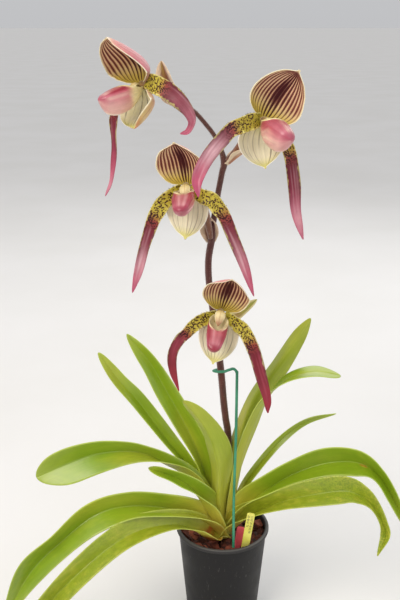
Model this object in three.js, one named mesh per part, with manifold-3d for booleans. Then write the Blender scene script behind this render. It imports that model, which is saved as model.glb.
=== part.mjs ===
// A potted slipper orchid: a black nursery pot filled with bark, a fan of twelve strap leaves,
// one flower stem with four blooms, a green wire stake and two plain plant labels.
// Millimetres, +Z up, the viewer looks along +Y. The origin is the middle of the pot's underside.

import * as THREE from 'three';
import { mergeVertices } from 'three/addons/utils/BufferGeometryUtils.js';
import Module from 'manifold-3d';

const wasm = await Module();
wasm.setup();

// Clearance that touching pieces keep
const GAP = 0.3;

// How far a surface may move where a cut left needless points
const SIMPLER = 0.1;

// Pot
const POT_HEIGHT = 115;
const POT_FOOT_RADIUS = 40;
const POT_WALL_TOP_RADIUS = 50;
const POT_RIM_RADIUS = 52.5;
const POT_RIM_HEIGHT = 4;
const POT_WALL = 1.4;
const POT_FLOOR = 2;
const POT_SIDES = 32;
const DRAIN_HOLES = 6;
const DRAIN_RADIUS = 4;
const DRAIN_CIRCLE = 27;
const DRAIN_SIDES = 10;

// Bark
const BARK_LEVEL = 100;
const CHIP_COUNT = 23;
const CHIP_SPREAD = 42;
const CHIP_LENGTH = [11, 19];
const CHIP_WIDTH = [7, 12];
const CHIP_DEPTH = [5, 8];
const CHIP_RISE = [0.5, 2.5];
const CHIP_TILT = [-0.45, 0.45];
const GOLDEN_ANGLE = Math.PI * (3 - Math.sqrt(5));

// Crown: radius and height up its outline, how much it spreads sideways, from where to where up its
// height that begins and ends, and how far it stands to the viewer's side of the middle
const CROWN = [[0, 88], [7, 90], [9, 98], [9, 108], [0, 114]];
const CROWN_SPREAD = 3;
const CROWN_OPENS = [88, 106];
const CROWN_CLOSES = [108, 114];
const CROWN_FORWARD = 3;
const CROWN_SIDES = 8;
const CROWN_AXIS = 0.5;

// Blades: thicknesses, how round the keel is, how much closer the rows stand towards the tip, and how
// the petals cup and wave
const LEAF_THICKNESS = 1.6;
const SEPAL_THICKNESS = 1;
const PETAL_THICKNESS = 1.1;
const BRACT_THICKNESS = 0.9;
const STAMINODE_THICKNESS = 1.2;
const KEEL_ROUND = 2;
const TIP_CROWDING = 1.3;
const PETAL_CUP = 24;
const PETAL_WAVE = { height: 1, count: 4 };
const VIEWER = [0, -1, 0];

// Pouch
const POUCH_WALL = 1.3;

const COLOURS = {
  pot: 0x232325,
  bark: 0x7a4430,
  crown: 0xa9a948,
  leaf: 0x86ad2e,
  stem: 0x4f2a26,
  bract: 0xb8957a,
  ovary: 0x7d5a48,
  dorsal: 0x6d2a2c,
  synsepal: 0xe3dfa6,
  petal: 0xa54858,
  pouch: 0xc76f7f,
  staminode: 0xe8d2a0,
  stake: 0x2f7a5a,
  yellowLabel: 0xe9e46a,
  redLabel: 0xd8525e,
};

// Leaves: each row is x, y, z of the keel, the full width, the fold of each half in degrees,
// and the roll of the blade in degrees, which is 0 where its upper face looks at the viewer.
const LEAVES = {
  leaf_1: [
    [-6, -7, 108, 28, 60, 84], [-16, -10, 136, 38, 64, 78], [-27, -13, 166, 36, 70, 80],
    [-42, -16, 186, 32, 70, 76], [-63, -20, 203, 27, 68, 68], [-84, -24, 217, 26, 66, 48],
    [-106, -30, 224, 39, 62, 24], [-136, -38, 225, 49, 45, 12], [-170, -46, 216, 48, 35, 10],
    [-197, -52, 205, 38, 25, 10],
  ],
  leaf_2: [
    [1, -11, 104, 28, 55, 86], [-15, -17, 124, 40, 58, 84], [-35, -24, 142, 43, 60, 64],
    [-63, -34, 157, 46, 60, 45], [-101, -46, 167, 48, 55, 35], [-136, -56, 163, 46, 45, 17],
    [-171, -66, 138, 42, 50, 10], [-206, -74, 103, 37, 42, 14], [-240, -82, 42, 14, 40, 10],
  ],
  leaf_3: [
    [6, -14, 106, 24, 50, 84], [-11, -21, 115, 38, 55, 84], [-31, -32, 130, 38, 55, 80],
    [-56, -48, 145, 35, 45, 72], [-89, -66, 150, 36, 36, 55], [-118, -82, 142, 36, 40, 35],
    [-155, -98, 116, 36, 45, 20], [-191, -108, 79, 32, 46, 10], [-222, -116, 40, 16, 36, 10],
  ],
  leaf_4: [
    [-7, 7, 108, 26, 60, 40], [-26, 16, 156, 26, 66, 36], [-45, 25, 183, 28, 60, 36],
    [-64, 33, 205, 28, 50, 38], [-98, 50, 246, 24, 40, 30], [-120, 60, 268, 19, 35, 25],
    [-143, 70, 297, 14, 30, 20],
  ],
  leaf_5: [
    [-6, 2, 108, 28, 60, 35], [-17, 9, 160, 35, 60, 28], [-28, 16, 197, 40, 56, 26],
    [-45, 27, 232, 38, 50, 16], [-65, 40, 265, 34, 46, 10], [-84, 52, 295, 26, 44, 6],
    [-109, 64, 322, 14, 35, 5],
  ],
  leaf_6: [
    [-1, -8, 106, 28, 62, 175], [-4, -16, 150, 35, 60, 176], [-4, -24, 190, 38, 52, 170],
    [-8, -31, 220, 37, 42, 160], [-15.5, -37, 247, 30, 36, 155], [-27.5, -38, 268, 24, 30, 155],
    [-43, -36, 286, 15, 22, 155],
  ],
  leaf_7: [
    [-4, -12, 112, 32, 60, 88], [-21, -19, 150, 40, 62, 80], [-33, -24, 173, 32, 60, 56],
    [-47, -27, 187, 27, 56, 36], [-63, -29, 196, 22, 60, 33], [-81, -30, 204, 14, 50, 30],
  ],
  leaf_8: [
    [6, -1, 108, 26, 58, 195], [11, 0, 168, 30, 55, 185], [17, 0, 215, 34, 55, 172],
    [31, -3, 269, 34, 52, 150], [56, -6, 312, 30, 48, 147], [75, -8, 343, 22, 44, 158],
    [89, -9, 367, 10, 35, 165],
  ],
  leaf_9: [
    [8, -6, 113, 15, 40, -140], [13, -8, 166, 15, 25, -135], [20, -11, 208, 20, 12, -130],
    [31, -16, 247, 22, 8, -130], [44, -22, 282, 24, 8, -122], [64, -27, 305, 25, 10, -98],
    [92, -27, 314, 23, 8, -80], [121, -23, 308, 18, 6, -76],
  ],
  leaf_10: [
    [10, 6, 112, 12, 50, -45], [22, 11, 152, 13, 48, -20], [39, 16, 178, 13, 42, -24],
    [65, 22, 209, 12, 40, -20], [94, 28, 230, 8, 38, -17], [129, 34, 237, 4, 35, -20],
  ],
  leaf_11: [
    [6, -6, 107, 30, 60, -84], [28, -11, 146, 42, 62, -66], [52, -16, 172, 46, 64, -44],
    [80, -19, 192, 48, 60, -36], [112, -23, 206, 48, 52, -34], [142, -27, 209, 44, 52, -24],
    [163, -31, 199, 31, 62, -14], [181, -36, 174, 26, 62, -2], [200, -42, 135, 15, 50, 5],
  ],
  leaf_12: [
    [1, -12, 105, 26, 52, -84], [12, -14, 118, 36, 57, -82], [26, -16, 133, 38, 60, -66],
    [46, -26, 152, 38, 62, -51], [71, -38, 170, 38, 53, -46], [95, -48, 182, 38, 43, -44],
    [124, -57, 192, 36, 37, -39], [141, -63, 190, 30, 48, -34], [154, -68, 181, 21, 58, -26],
    [164, -72, 165, 17, 60, -8], [168, -76, 151, 17, 50, 28], [159, -82, 130, 9, 40, 60],
  ],
};

const LEAF_STEPS = 13;

// Flower stem: x, y, z and radius, up to the node under the highest bloom
const STEM_SIDES = 7;
const STEM_STEPS = 36;
const STEM = [
  [4, 8, 96, 4.4], [6, 9, 166, 4.1], [5.5, 8, 221, 3.9], [2.5, 7, 245, 3.8], [0, 6, 267, 3.8],
  [-3, 4, 301, 3.8], [-9, 2, 350, 3.7], [-16, 0, 400, 3.5], [-17, 0, 427, 3.5], [-14, 0, 448, 3.6],
  [-13, 0, 461, 3.2], [-8, 0, 494, 3], [-4, 0, 516, 3], [-2, 0, 527, 3.3], [-6, 3, 542, 2.3],
  [-12, 6, 553, 2.2], [-20, 8, 563, 2.2], [-29, 8, 573, 2.2], [-39, 6, 581, 2.4],
  [-45, 2, 587, 2.8],
];

// Blooms: the column's middle, the way the bloom looks, the tips of its sepals and pouch, and its
// petals, pedicel and bract. A sepal's cup is the half angle of its arc, or one for each side, and its
// middle line bows back by bulge and aside by lean. Petal rows are like leaf rows.
const BLOOMS = [
  {
    column: [-80, -19, 602],
    looks: [-0.79, -0.6, -0.1],
    dorsal: {
      tip: [-109, -45, 645], looks: [-0.62, -0.78, -0.1], width: 69, cup: [50, 78],
      bulge: 15, outline: [0.36, 0.48], nub: 0,
    },
    synsepal: {
      tip: [-87, -36, 564], looks: [-0.7, -0.7, 0.1], width: 60, cup: [74, 46],
      bulge: 11, outline: [0.45, 0.4], nub: 0,
    },
    toe: [-117, -52, 591],
    fullness: [0.92, 0.55, 1],
    petalLeft: [
      [-80, -17, 601, 9, 0, 0], [-95, 0, 591, 13, 0, 0], [-106, 6, 581, 11, 0, 10],
      [-110, 8, 571, 9, 0, 20], [-110.5, 9, 559, 8.5, 0, 30], [-111, 9, 534, 7, 0, 40],
      [-114, 8, 509, 5.5, 0, 40], [-121, 6, 492, 3, 0, 40],
    ],
    petalRight: [
      [-76, -24, 606, 11, 0, 0], [-69, -38, 605, 17, 0, 0], [-60, -50, 602, 17, 0, 0],
      [-51, -56, 597, 16.5, 0, 0], [-43, -60, 590, 14.5, 0, 0], [-36, -58, 581, 10.5, 0, 0],
      [-33, -53, 572, 7, 0, 0], [-37, -48, 563, 5, 0, 0], [-44, -45, 560, 3, 0, 0],
    ],
    pedicel: [[-46, 1, 588, 2.4], [-54, -2, 594, 3], [-64, -8, 600, 3.4], [-73, -13, 603, 3.6]],
    bract: [
      [-46, 3, 583, 14, 40, 0], [-52, 8, 594, 28, 36, 0], [-58, 10, 608, 25, 36, 0],
      [-63, 8, 623, 7, 30, 0],
    ],
    bractLooks: [-0.6, -0.8, -0.1],
  },
  {
    column: [34, -27, 570],
    looks: [0.62, -0.78, 0],
    dorsal: {
      tip: [66, -30, 616], looks: [0.3, -0.95, 0.1], width: 59, cup: 38,
      bulge: 6, lean: -1, outline: [0.34, 0.5],
    },
    synsepal: { tip: [36, -38, 527], looks: [0.35, -0.93, 0.1], width: 54, cup: 38, bulge: 8, lean: 2 },
    toe: [56, -66, 557],
    fullness: [1, 0.95, 0.94],
    petalLeft: [
      [30, -31, 572, 12, 0, 0], [21, -44, 571, 16, 0, 0], [12, -54, 569, 15, 0, 0],
      [3, -62, 566, 14, 0, 0], [-5, -68, 559, 13.5, 0, 0], [-19, -78, 543, 13, 0, 0],
      [-28, -84, 525, 10.5, 0, 0], [-27, -86, 509, 4, 0, 0],
    ],
    petalRight: [
      [38, -22, 568, 9, 0, 0], [49, -12, 558, 13, 0, 0], [58, -6, 546, 13, 0, 0],
      [64, -3, 529, 13, 0, 0], [68, -2, 503, 13, 0, 0], [71, -2, 476, 10, 0, 0],
      [79, -2, 449, 4, 0, 0],
    ],
    pedicel: [[1, -2, 529, 2.2], [8, -6, 538, 2.6], [18, -13, 552, 3.4], [28, -21, 565, 3.8]],
    bract: [
      [2, 1, 524, 14, 60, 0], [10, -2, 531, 22, 60, 0], [20, -8, 540, 20, 55, 0],
      [30, -12, 550, 8, 40, 0],
    ],
    bractLooks: [-0.4, -0.3, 0.9],
  },
  {
    column: [-39, -33, 509],
    looks: [-0.1, -0.99, -0.05],
    dorsal: {
      tip: [-50, -50, 553], looks: [-0.35, -0.9, -0.25], width: 54, cup: 38,
      bulge: 7, outline: [0.32, 0.36],
    },
    synsepal: {
      tip: [-40, -48, 461], looks: [-0.1, -0.98, 0.1], width: 43, cup: 38,
      bulge: 5, lean: -2,
    },
    toe: [-44, -80, 495],
    fullness: [0.9, 0.5, 0.6],
    square: 0.72,
    mouthHalf: 0.34,
    petalLeft: [
      [-43, -34, 508, 9, 0, 0], [-50, -40, 503, 14, 0, 0], [-60, -44, 496, 15, 0, 0],
      [-66, -44, 487, 15, 0, 0], [-71, -43, 477, 13, 0, 0], [-79, -40, 453, 10.5, 0, 0],
      [-86, -36, 427, 9, 0, 0], [-93, -32, 402, 4, 0, 0],
    ],
    petalRight: [
      [-35, -34, 508, 9, 0, 0], [-25, -42, 502, 14, 0, 0], [-15, -46, 499, 15, 0, 0],
      [-9, -48, 492, 15, 0, 0], [-3, -50, 484, 13, 0, 0], [6, -52, 463, 11.5, 0, 0],
      [16, -52, 438, 10, 0, 0], [27, -50, 404, 4, 0, 0],
    ],
    pedicel: [[-15, -3, 451, 2.6], [-17, -7, 463, 3.2], [-22, -13, 484, 3.7], [-34, -21, 506, 3.8]],
    bract: [
      [-14, 3, 446, 13, 45, 0], [-15, 3, 454, 21, 35, 0], [-17, 1, 464, 20, 30, 0],
      [-20, -2, 474, 6, 25, 0],
    ],
    bractLooks: [-0.15, -0.95, 0.2],
  },
  {
    column: [-5, -33, 382],
    looks: [-0.05, -0.98, 0.1],
    dorsal: { tip: [5, -66, 426], looks: [-0.2, -0.8, -0.56], width: 52, cup: 44, bulge: 8 },
    synsepal: {
      tip: [-13, -48, 332], looks: [0.05, -0.98, 0.1], width: 44, cup: 42,
      bulge: 5, lean: -1.5,
    },
    toe: [-13, -79, 359],
    fullness: [0.86, 0.4, 0.66],
    square: 0.85,
    mouthHalf: 0.44,
    petalLeft: [
      [-9, -35, 381, 9, 0, 0], [-17, -39, 378, 14, 0, 0], [-25, -41, 376, 14, 0, 0],
      [-32, -43, 371, 13, 0, 0], [-39, -45, 364, 12, 0, 0], [-46, -47, 358, 11, 0, 0],
      [-53, -48, 343, 10, 0, 0], [-53, -48, 325, 8, 0, 0], [-47, -46, 301, 3, 0, 0],
    ],
    petalRight: [
      [-1, -35, 381, 9, 0, 0], [11, -41, 372, 14, 0, 0], [19, -44, 365, 14, 0, 0],
      [28, -48, 347, 13, 0, 0], [35, -50, 323, 12, 0, 0], [42, -50, 297, 9, 0, 0],
      [44, -49, 278, 4, 0, 0],
    ],
    pedicel: [[-8, -3, 344, 2.4], [-8, -8, 354, 2.8], [-7, -16, 367, 3.4], [-6, -25, 378, 3.8]],
    bract: [
      [-6, 5, 342, 16, 60, 0], [2, 5, 352, 24, 60, 0], [14, 5, 363, 22, 50, 0],
      [34, 5, 383, 5, 30, 0],
    ],
    bractLooks: [-0.6, -0.7, 0.4],
  },
];

// Sepals: how sharply the outline opens at the base and closes at the tip, its number of rows, where
// along the line from the column it starts, the nub's share of its length, and its least width at
// both ends
const DORSAL_OUTLINE = [0.42, 0.42];
const SYNSEPAL_OUTLINE = [0.48, 0.52];
const SEPAL_ROWS = 10;
const SEPAL_FOOT = 0.03;
const SEPAL_SUNK = 2;
const NUB_SHARE = 0.05;
const SEPAL_ENDS = [10, 4];

// Pouch: at each share of its length, half the width, the height above and the depth below its line,
// and the share over which its end rounds off. A bloom's fullness multiplies all three, and its square,
// below 1, makes its sections squarer up to where the toe rounds off.
const POUCH_ROWS = [
  [5, 4, 6], [9, 7, 12], [11, 9, 16], [11.5, 10.5, 18], [11.3, 10.5, 18.5], [10, 9.5, 18],
  [8.5, 7.5, 15.5], [6, 4.5, 10],
];
const POUCH_ROUND = 0.12;
const POUCH_TOE = [0.6, 0.95];
const POUCH_RINGS = 8;
const POUCH_SIDES = 10;

// Pouch mouth: an egg cut out of the top, its middle and half sizes along the pouch as shares of its
// length, the rest in millimetres. A bloom may have a mouth half of its own.
const MOUTH_AT = 0.14;
const MOUTH_HALF = 0.3;
const MOUTH_RISE = 9;
const MOUTH_RADIUS = 12;

// Staminode: forward of the column, above it, and width
const STAMINODE = [
  [3, 1, 4], [6, 3, 8], [10, 2.5, 10.5], [13.5, -1.5, 10.5], [15.5, -7, 8.5], [16, -12, 3.5],
];

// Stake: a coated wire that rises beside the flower stem and hooks round it
const STAKE_RADIUS = 1.5;
const STAKE_SIDES = 6;
const STAKE_STEPS = 32;
const STAKE = [
  [10, -40, 62], [11, -38, 109], [11, -33, 166], [12.5, -26, 240], [13, -20, 304], [12.6, -20, 311],
  [9.5, -19.5, 314.5], [5, -16, 312], [0, -11, 308], [-6, -7, 306], [-10, -2, 304.5],
  [-11, 4, 302.5], [-8, 10, 301], [-3, 12.5, 300.5],
];

// Labels: plain strips pushed into the bark
const LABEL_WIDTH = 8.6;
const LABEL_THICKNESS = 0.8;
const LABEL_CORNER = 2.4;
const LABEL_POINT = 12;
const LABELS = [
  { name: 'label_yellow', foot: [21, -31, 82], top: [29.5, -44, 157], colour: COLOURS.yellowLabel },
  { name: 'label_red', foot: [14, -29, 84], top: [19.5, -30, 131], colour: COLOURS.redLabel },
];

const vector = (p) => new THREE.Vector3(p[0], p[1], p[2]);
const radians = THREE.MathUtils.degToRad;
const lerp = THREE.MathUtils.lerp;
const smoothstep = THREE.MathUtils.smoothstep;

// Smooth curve through rows of numbers, at u from 0 to 1: uniform Catmull-Rom, ends reflected
function along(rows, u) {
  const last = rows.length - 1;
  const place = Math.min(Math.max(u, 0), 1) * last;
  const i = Math.min(Math.floor(place), last - 1);
  const f = place - i;
  const reflect = (end, next) => end.map((value, k) => 2 * value - next[k]);
  const b = rows[i];
  const c = rows[i + 1];
  const a = i > 0 ? rows[i - 1] : reflect(b, c);
  const d = i + 2 <= last ? rows[i + 2] : reflect(c, b);
  return b.map((value, k) => 0.5 * (2 * value + (c[k] - a[k]) * f
    + (2 * a[k] - 5 * value + 4 * c[k] - d[k]) * f ** 2
    + (3 * value - a[k] - 3 * c[k] + d[k]) * f ** 3));
}

// Unit direction of the curve at u
function direction(rows, u) {
  const step = 0.001;
  const before = vector(along(rows, Math.max(u - step, 0)));
  const after = vector(along(rows, Math.min(u + step, 1)));
  return after.sub(before).normalize();
}

function solidOf(geometry) {
  const bare = geometry.clone();
  bare.deleteAttribute('normal');
  bare.deleteAttribute('uv');
  const merged = mergeVertices(bare, 1e-4);
  return new wasm.Manifold(new wasm.Mesh({
    numProp: 3,
    vertProperties: new Float32Array(merged.attributes.position.array),
    triVerts: new Uint32Array(merged.index.array),
  }));
}

// The largest body of a solid, because a cut or a simpler surface may leave scraps
function largest(solid) {
  const bodies = solid.decompose();
  return bodies.reduce((best, body) => (body.volume() > best.volume() ? body : best), bodies[0]);
}

function geometryOf(solid) {
  const mesh = solid.getMesh();
  const geometry = new THREE.BufferGeometry();
  geometry.setAttribute('position', new THREE.BufferAttribute(new Float32Array(mesh.vertProperties), 3));
  geometry.setIndex(new THREE.BufferAttribute(new Uint32Array(mesh.triVerts), 1));
  return geometry;
}

function indexed(points, triangles) {
  const geometry = new THREE.BufferGeometry();
  const numbers = points.flatMap((point) => point.toArray());
  geometry.setAttribute('position', new THREE.Float32BufferAttribute(numbers, 3));
  geometry.setIndex(triangles.flat());
  return geometry;
}

// Closed body through rings of points, each ring turning the same way round the line of the loft
function loft(rings) {
  const sides = rings[0].length;
  const points = rings.flat();
  const triangles = [];
  for (let i = 0; i + 1 < rings.length; i += 1) {
    for (let k = 0; k < sides; k += 1) {
      const a = i * sides + k;
      const b = i * sides + ((k + 1) % sides);
      triangles.push([a, b, b + sides], [a, b + sides, a + sides]);
    }
  }
  const lastRing = (rings.length - 1) * sides;
  for (let k = 1; k + 1 < sides; k += 1) {
    triangles.push([0, k + 1, k], [lastRing, lastRing + k, lastRing + k + 1]);
  }
  return indexed(points, triangles);
}

// Round rod along rows of x, y, z and radius
function rod(rows, sides, steps, grow) {
  const rings = [];
  for (let i = 0; i <= steps; i += 1) {
    const u = i / steps;
    const [x, y, z, radius] = along(rows, u);
    const t = direction(rows, u);
    const side = new THREE.Vector3(0, 1, 0).cross(t).normalize();
    const other = t.clone().cross(side);
    const reach = i === 0 ? -grow : (i === steps ? grow : 0);
    const ring = [];
    for (let k = 0; k < sides; k += 1) {
      const angle = (2 * Math.PI * k) / sides;
      ring.push(new THREE.Vector3(x, y, z)
        .addScaledVector(t, reach)
        .addScaledVector(side, (radius + grow) * Math.cos(angle))
        .addScaledVector(other, (radius + grow) * Math.sin(angle)));
    }
    rings.push(ring);
  }
  return loft(rings);
}

// Thin curved blade. rows: x, y, z, width, fold, roll. looks: where the upper face looks at roll 0.
// cup: half angle of the arc across the blade, or one for each side. tip: share of the length over
// which the end rounds off.
function blade({
  rows, looks = VIEWER, thickness, steps, across, tip, cup = 0, wave = null,
}, grow) {
  const top = [];
  const bottom = [];
  const cups = [cup].flat().map(radians);
  for (let i = 0; i <= steps; i += 1) {
    const u = 1 - (1 - i / steps) ** TIP_CROWDING;
    const [x, y, z, width, fold, roll] = along(rows, u);
    const t = direction(rows, u);
    const level = t.clone().cross(vector(looks)).normalize();
    const face = level.clone().cross(t);
    const turn = radians(roll);
    const a = level.clone().multiplyScalar(Math.cos(turn)).addScaledVector(face, -Math.sin(turn));
    const n = face.clone().multiplyScalar(Math.cos(turn)).addScaledVector(level, Math.sin(turn));
    const end = tip > 0 ? Math.min(Math.max((u - 1 + tip) / tip, 0), 1) : 0;
    const half = (width / 2) * Math.sqrt(Math.max(1 - end ** 2, 0.01)) + grow;
    const foldAngle = radians(fold);
    const section = (v) => {
      const s = v * half;
      const cupAngle = v < 0 ? cups[0] : cups.at(-1);
      const flat = cup ? (half * Math.sin(cupAngle * v)) / cupAngle : s;
      const rise = cup ? (half * (1 - Math.cos(cupAngle * v))) / cupAngle : 0;
      const ripple = wave
        ? wave.height * v ** 2 * Math.min(1, half / 4)
          * Math.sin(2 * Math.PI * wave.count * u + wave.shift * Math.sign(v))
        : 0;
      return [
        flat * Math.cos(foldAngle),
        rise + (Math.sqrt(s ** 2 + KEEL_ROUND ** 2) - KEEL_ROUND) * Math.sin(foldAngle) + ripple,
      ];
    };
    const reach = i === 0 ? -grow : (i === steps ? grow : 0);
    for (let j = 0; j <= across; j += 1) {
      const v = -1 + (2 * j) / across;
      const [offset, rise] = section(v);
      const [before, riseBefore] = section(v - 0.02);
      const [after, riseAfter] = section(v + 0.02);
      const slope = new THREE.Vector2(after - before, riseAfter - riseBefore).normalize();
      const skin = thickness / 2 + grow;
      const base = new THREE.Vector3(x, y, z).addScaledVector(t, reach)
        .addScaledVector(a, offset).addScaledVector(n, rise);
      const normal = a.clone().multiplyScalar(-slope.y).addScaledVector(n, slope.x);
      top.push(base.clone().addScaledVector(normal, skin));
      bottom.push(base.clone().addScaledVector(normal, -skin));
    }
  }
  const row = across + 1;
  const under = top.length;
  const triangles = [];
  for (let i = 0; i < steps; i += 1) {
    for (let j = 0; j < across; j += 1) {
      const p = i * row + j;
      const q = under + p;
      triangles.push([p, p + 1, p + row + 1], [p, p + row + 1, p + row]);
      triangles.push([q, q + row + 1, q + 1], [q, q + row, q + row + 1]);
    }
    const left = i * row;
    const right = i * row + across;
    triangles.push([left, left + row, under + left + row], [left, under + left + row, under + left]);
    triangles.push([right, under + right, under + right + row], [right, under + right + row, right + row]);
  }
  const end = steps * row;
  for (let j = 0; j < across; j += 1) {
    const p = end + j;
    const q = under + p;
    triangles.push([j, under + j, under + j + 1], [j, under + j + 1, j + 1]);
    triangles.push([p, p + 1, q + 1], [p, q + 1, q]);
  }
  return indexed([...top, ...bottom], triangles);
}

// Random numbers from 0 to 1, the same each time for one seed
function randomFrom(seed) {
  let state = seed;
  return () => {
    state = (state * 1664525 + 1013904223) % 4294967296;
    return state / 4294967296;
  };
}

const object = new THREE.Group();

function place(name, solid, colour, roughness = 0.5) {
  const material = new THREE.MeshStandardMaterial({ color: colour, roughness, metalness: 0 });
  const mesh = new THREE.Mesh(geometryOf(largest(solid.simplify(SIMPLER))), material);
  mesh.name = name;
  object.add(mesh);
}

// Turned body about the Z axis from a closed outline of radius and height, lowest point first
function turned(outline, sides) {
  const profile = outline.map(([radius, height]) => new THREE.Vector2(radius, height));
  return solidOf(new THREE.LatheGeometry(profile, sides).rotateX(Math.PI / 2));
}

function potWallRadius(height) {
  const share = height / (POT_HEIGHT - POT_RIM_HEIGHT);
  return lerp(POT_FOOT_RADIUS, POT_WALL_TOP_RADIUS, share);
}

function makePot() {
  const underRim = POT_HEIGHT - POT_RIM_HEIGHT;
  const shell = turned([
    [0, 0], [POT_FOOT_RADIUS - 1, 0], [potWallRadius(1), 1], [POT_WALL_TOP_RADIUS, underRim],
    [POT_RIM_RADIUS - 0.4, underRim], [POT_RIM_RADIUS, underRim + 1], [POT_RIM_RADIUS, POT_HEIGHT - 0.8],
    [POT_RIM_RADIUS - 0.8, POT_HEIGHT], [POT_WALL_TOP_RADIUS - POT_WALL + 0.8, POT_HEIGHT],
    [POT_WALL_TOP_RADIUS - POT_WALL, POT_HEIGHT - 1],
    [potWallRadius(POT_FLOOR) - POT_WALL, POT_FLOOR], [0, POT_FLOOR],
  ], POT_SIDES);
  let pot = shell;
  for (let k = 0; k < DRAIN_HOLES; k += 1) {
    const angle = (2 * Math.PI * k) / DRAIN_HOLES;
    const hole = new THREE.CylinderGeometry(DRAIN_RADIUS, DRAIN_RADIUS, 4 * POT_FLOOR, DRAIN_SIDES);
    hole.rotateX(Math.PI / 2);
    hole.translate(DRAIN_CIRCLE * Math.cos(angle), DRAIN_CIRCLE * Math.sin(angle), POT_FLOOR / 2);
    pot = pot.subtract(solidOf(hole));
  }
  return pot;
}

// Bark: a filled body with loose chips standing out of its top, all inside the pot's wall
function makeBark() {
  const random = randomFrom(20);
  const between = ([low, high]) => lerp(low, high, random());
  const clear = POT_WALL + GAP;
  const floor = POT_FLOOR + GAP;
  let bark = turned([
    [0, floor], [potWallRadius(floor) - clear, floor],
    [potWallRadius(BARK_LEVEL) - clear, BARK_LEVEL], [0, BARK_LEVEL],
  ], POT_SIDES);
  const inside = turned([
    [0, floor], [potWallRadius(floor) - clear, floor],
    [potWallRadius(POT_HEIGHT - 2) - clear, POT_HEIGHT - 2], [0, POT_HEIGHT - 2],
  ], POT_SIDES);
  for (let k = 0; k < CHIP_COUNT; k += 1) {
    const angle = k * GOLDEN_ANGLE;
    const radius = CHIP_SPREAD * Math.sqrt((k + 0.5) / CHIP_COUNT);
    const chip = new THREE.BoxGeometry(between(CHIP_LENGTH), between(CHIP_WIDTH), between(CHIP_DEPTH));
    chip.rotateX(between(CHIP_TILT));
    chip.rotateY(between(CHIP_TILT));
    chip.rotateZ(2 * Math.PI * random());
    chip.translate(radius * Math.cos(angle), radius * Math.sin(angle), BARK_LEVEL + between(CHIP_RISE));
    bark = bark.add(solidOf(chip));
  }
  return bark.intersect(inside);
}

// Crown: the short base of the shoot, half sunk in the bark, and flattened like the fan of leaves
function makeCrown(grow) {
  const last = CROWN.length - 1;
  const outline = CROWN.map(([radius, height], k) => {
    if (k === 0) return [0, height - grow];
    return k === last ? [0, height + grow] : [radius + grow, height];
  });
  const flattened = (point) => {
    const [x, y, z] = point;
    const radius = Math.hypot(x, y);
    if (radius < CROWN_AXIS) return;
    const opened = smoothstep(z, ...CROWN_OPENS) * (1 - smoothstep(z, ...CROWN_CLOSES));
    const wider = 1 + (CROWN_SPREAD * Math.cos(2 * Math.atan2(y, x)) * opened) / radius;
    point[0] = x * wider;
    point[1] = y * wider;
  };
  return turned(outline, CROWN_SIDES).warp(flattened).translate([0, -CROWN_FORWARD, 0]);
}

// Sepal: broad egg outline with a small pointed tip, cupped across and bowed along
function makeSepal(bloom, sepal, usual, grow) {
  const [open, close] = sepal.outline ?? usual;
  const nub = sepal.nub ?? NUB_SHARE;
  const widest = open / (open + close);
  const fullest = widest ** open * (1 - widest) ** close;
  const to = vector(sepal.tip);
  const looks = vector(sepal.looks).normalize();
  const start = vector(bloom.column).lerp(to, SEPAL_FOOT).addScaledVector(looks, -SEPAL_SUNK);
  const aside = to.clone().sub(start).cross(looks).normalize();
  const rows = [];
  for (let k = 0; k < SEPAL_ROWS; k += 1) {
    const share = 0.5 - 0.5 * Math.cos((Math.PI * k) / (SEPAL_ROWS - 1));
    const body = Math.min(share / (1 - nub), 1);
    const outline = (body ** open * (1 - body) ** close) / fullest;
    const bow = Math.sin(Math.PI * share);
    const point = start.clone().lerp(to, share).addScaledVector(looks, -sepal.bulge * bow)
      .addScaledVector(aside, (sepal.lean ?? 0) * bow);
    rows.push([...point.toArray(), Math.max(sepal.width * outline, lerp(...SEPAL_ENDS, share)), 0, 0]);
  }
  return solidOf(blade({
    rows, looks: sepal.looks, thickness: SEPAL_THICKNESS, steps: 9, across: 6, tip: 0, cup: sepal.cup,
  }, grow));
}

function makePetal(rows, shift, grow) {
  return solidOf(blade({
    rows, thickness: PETAL_THICKNESS, steps: 18, across: 2, tip: 0.12, cup: PETAL_CUP,
    wave: { ...PETAL_WAVE, shift },
  }, grow));
}

// A sine or cosine raised to a power, with its sign kept
const squarer = (value, power) => Math.sign(value) * Math.abs(value) ** power;

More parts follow.
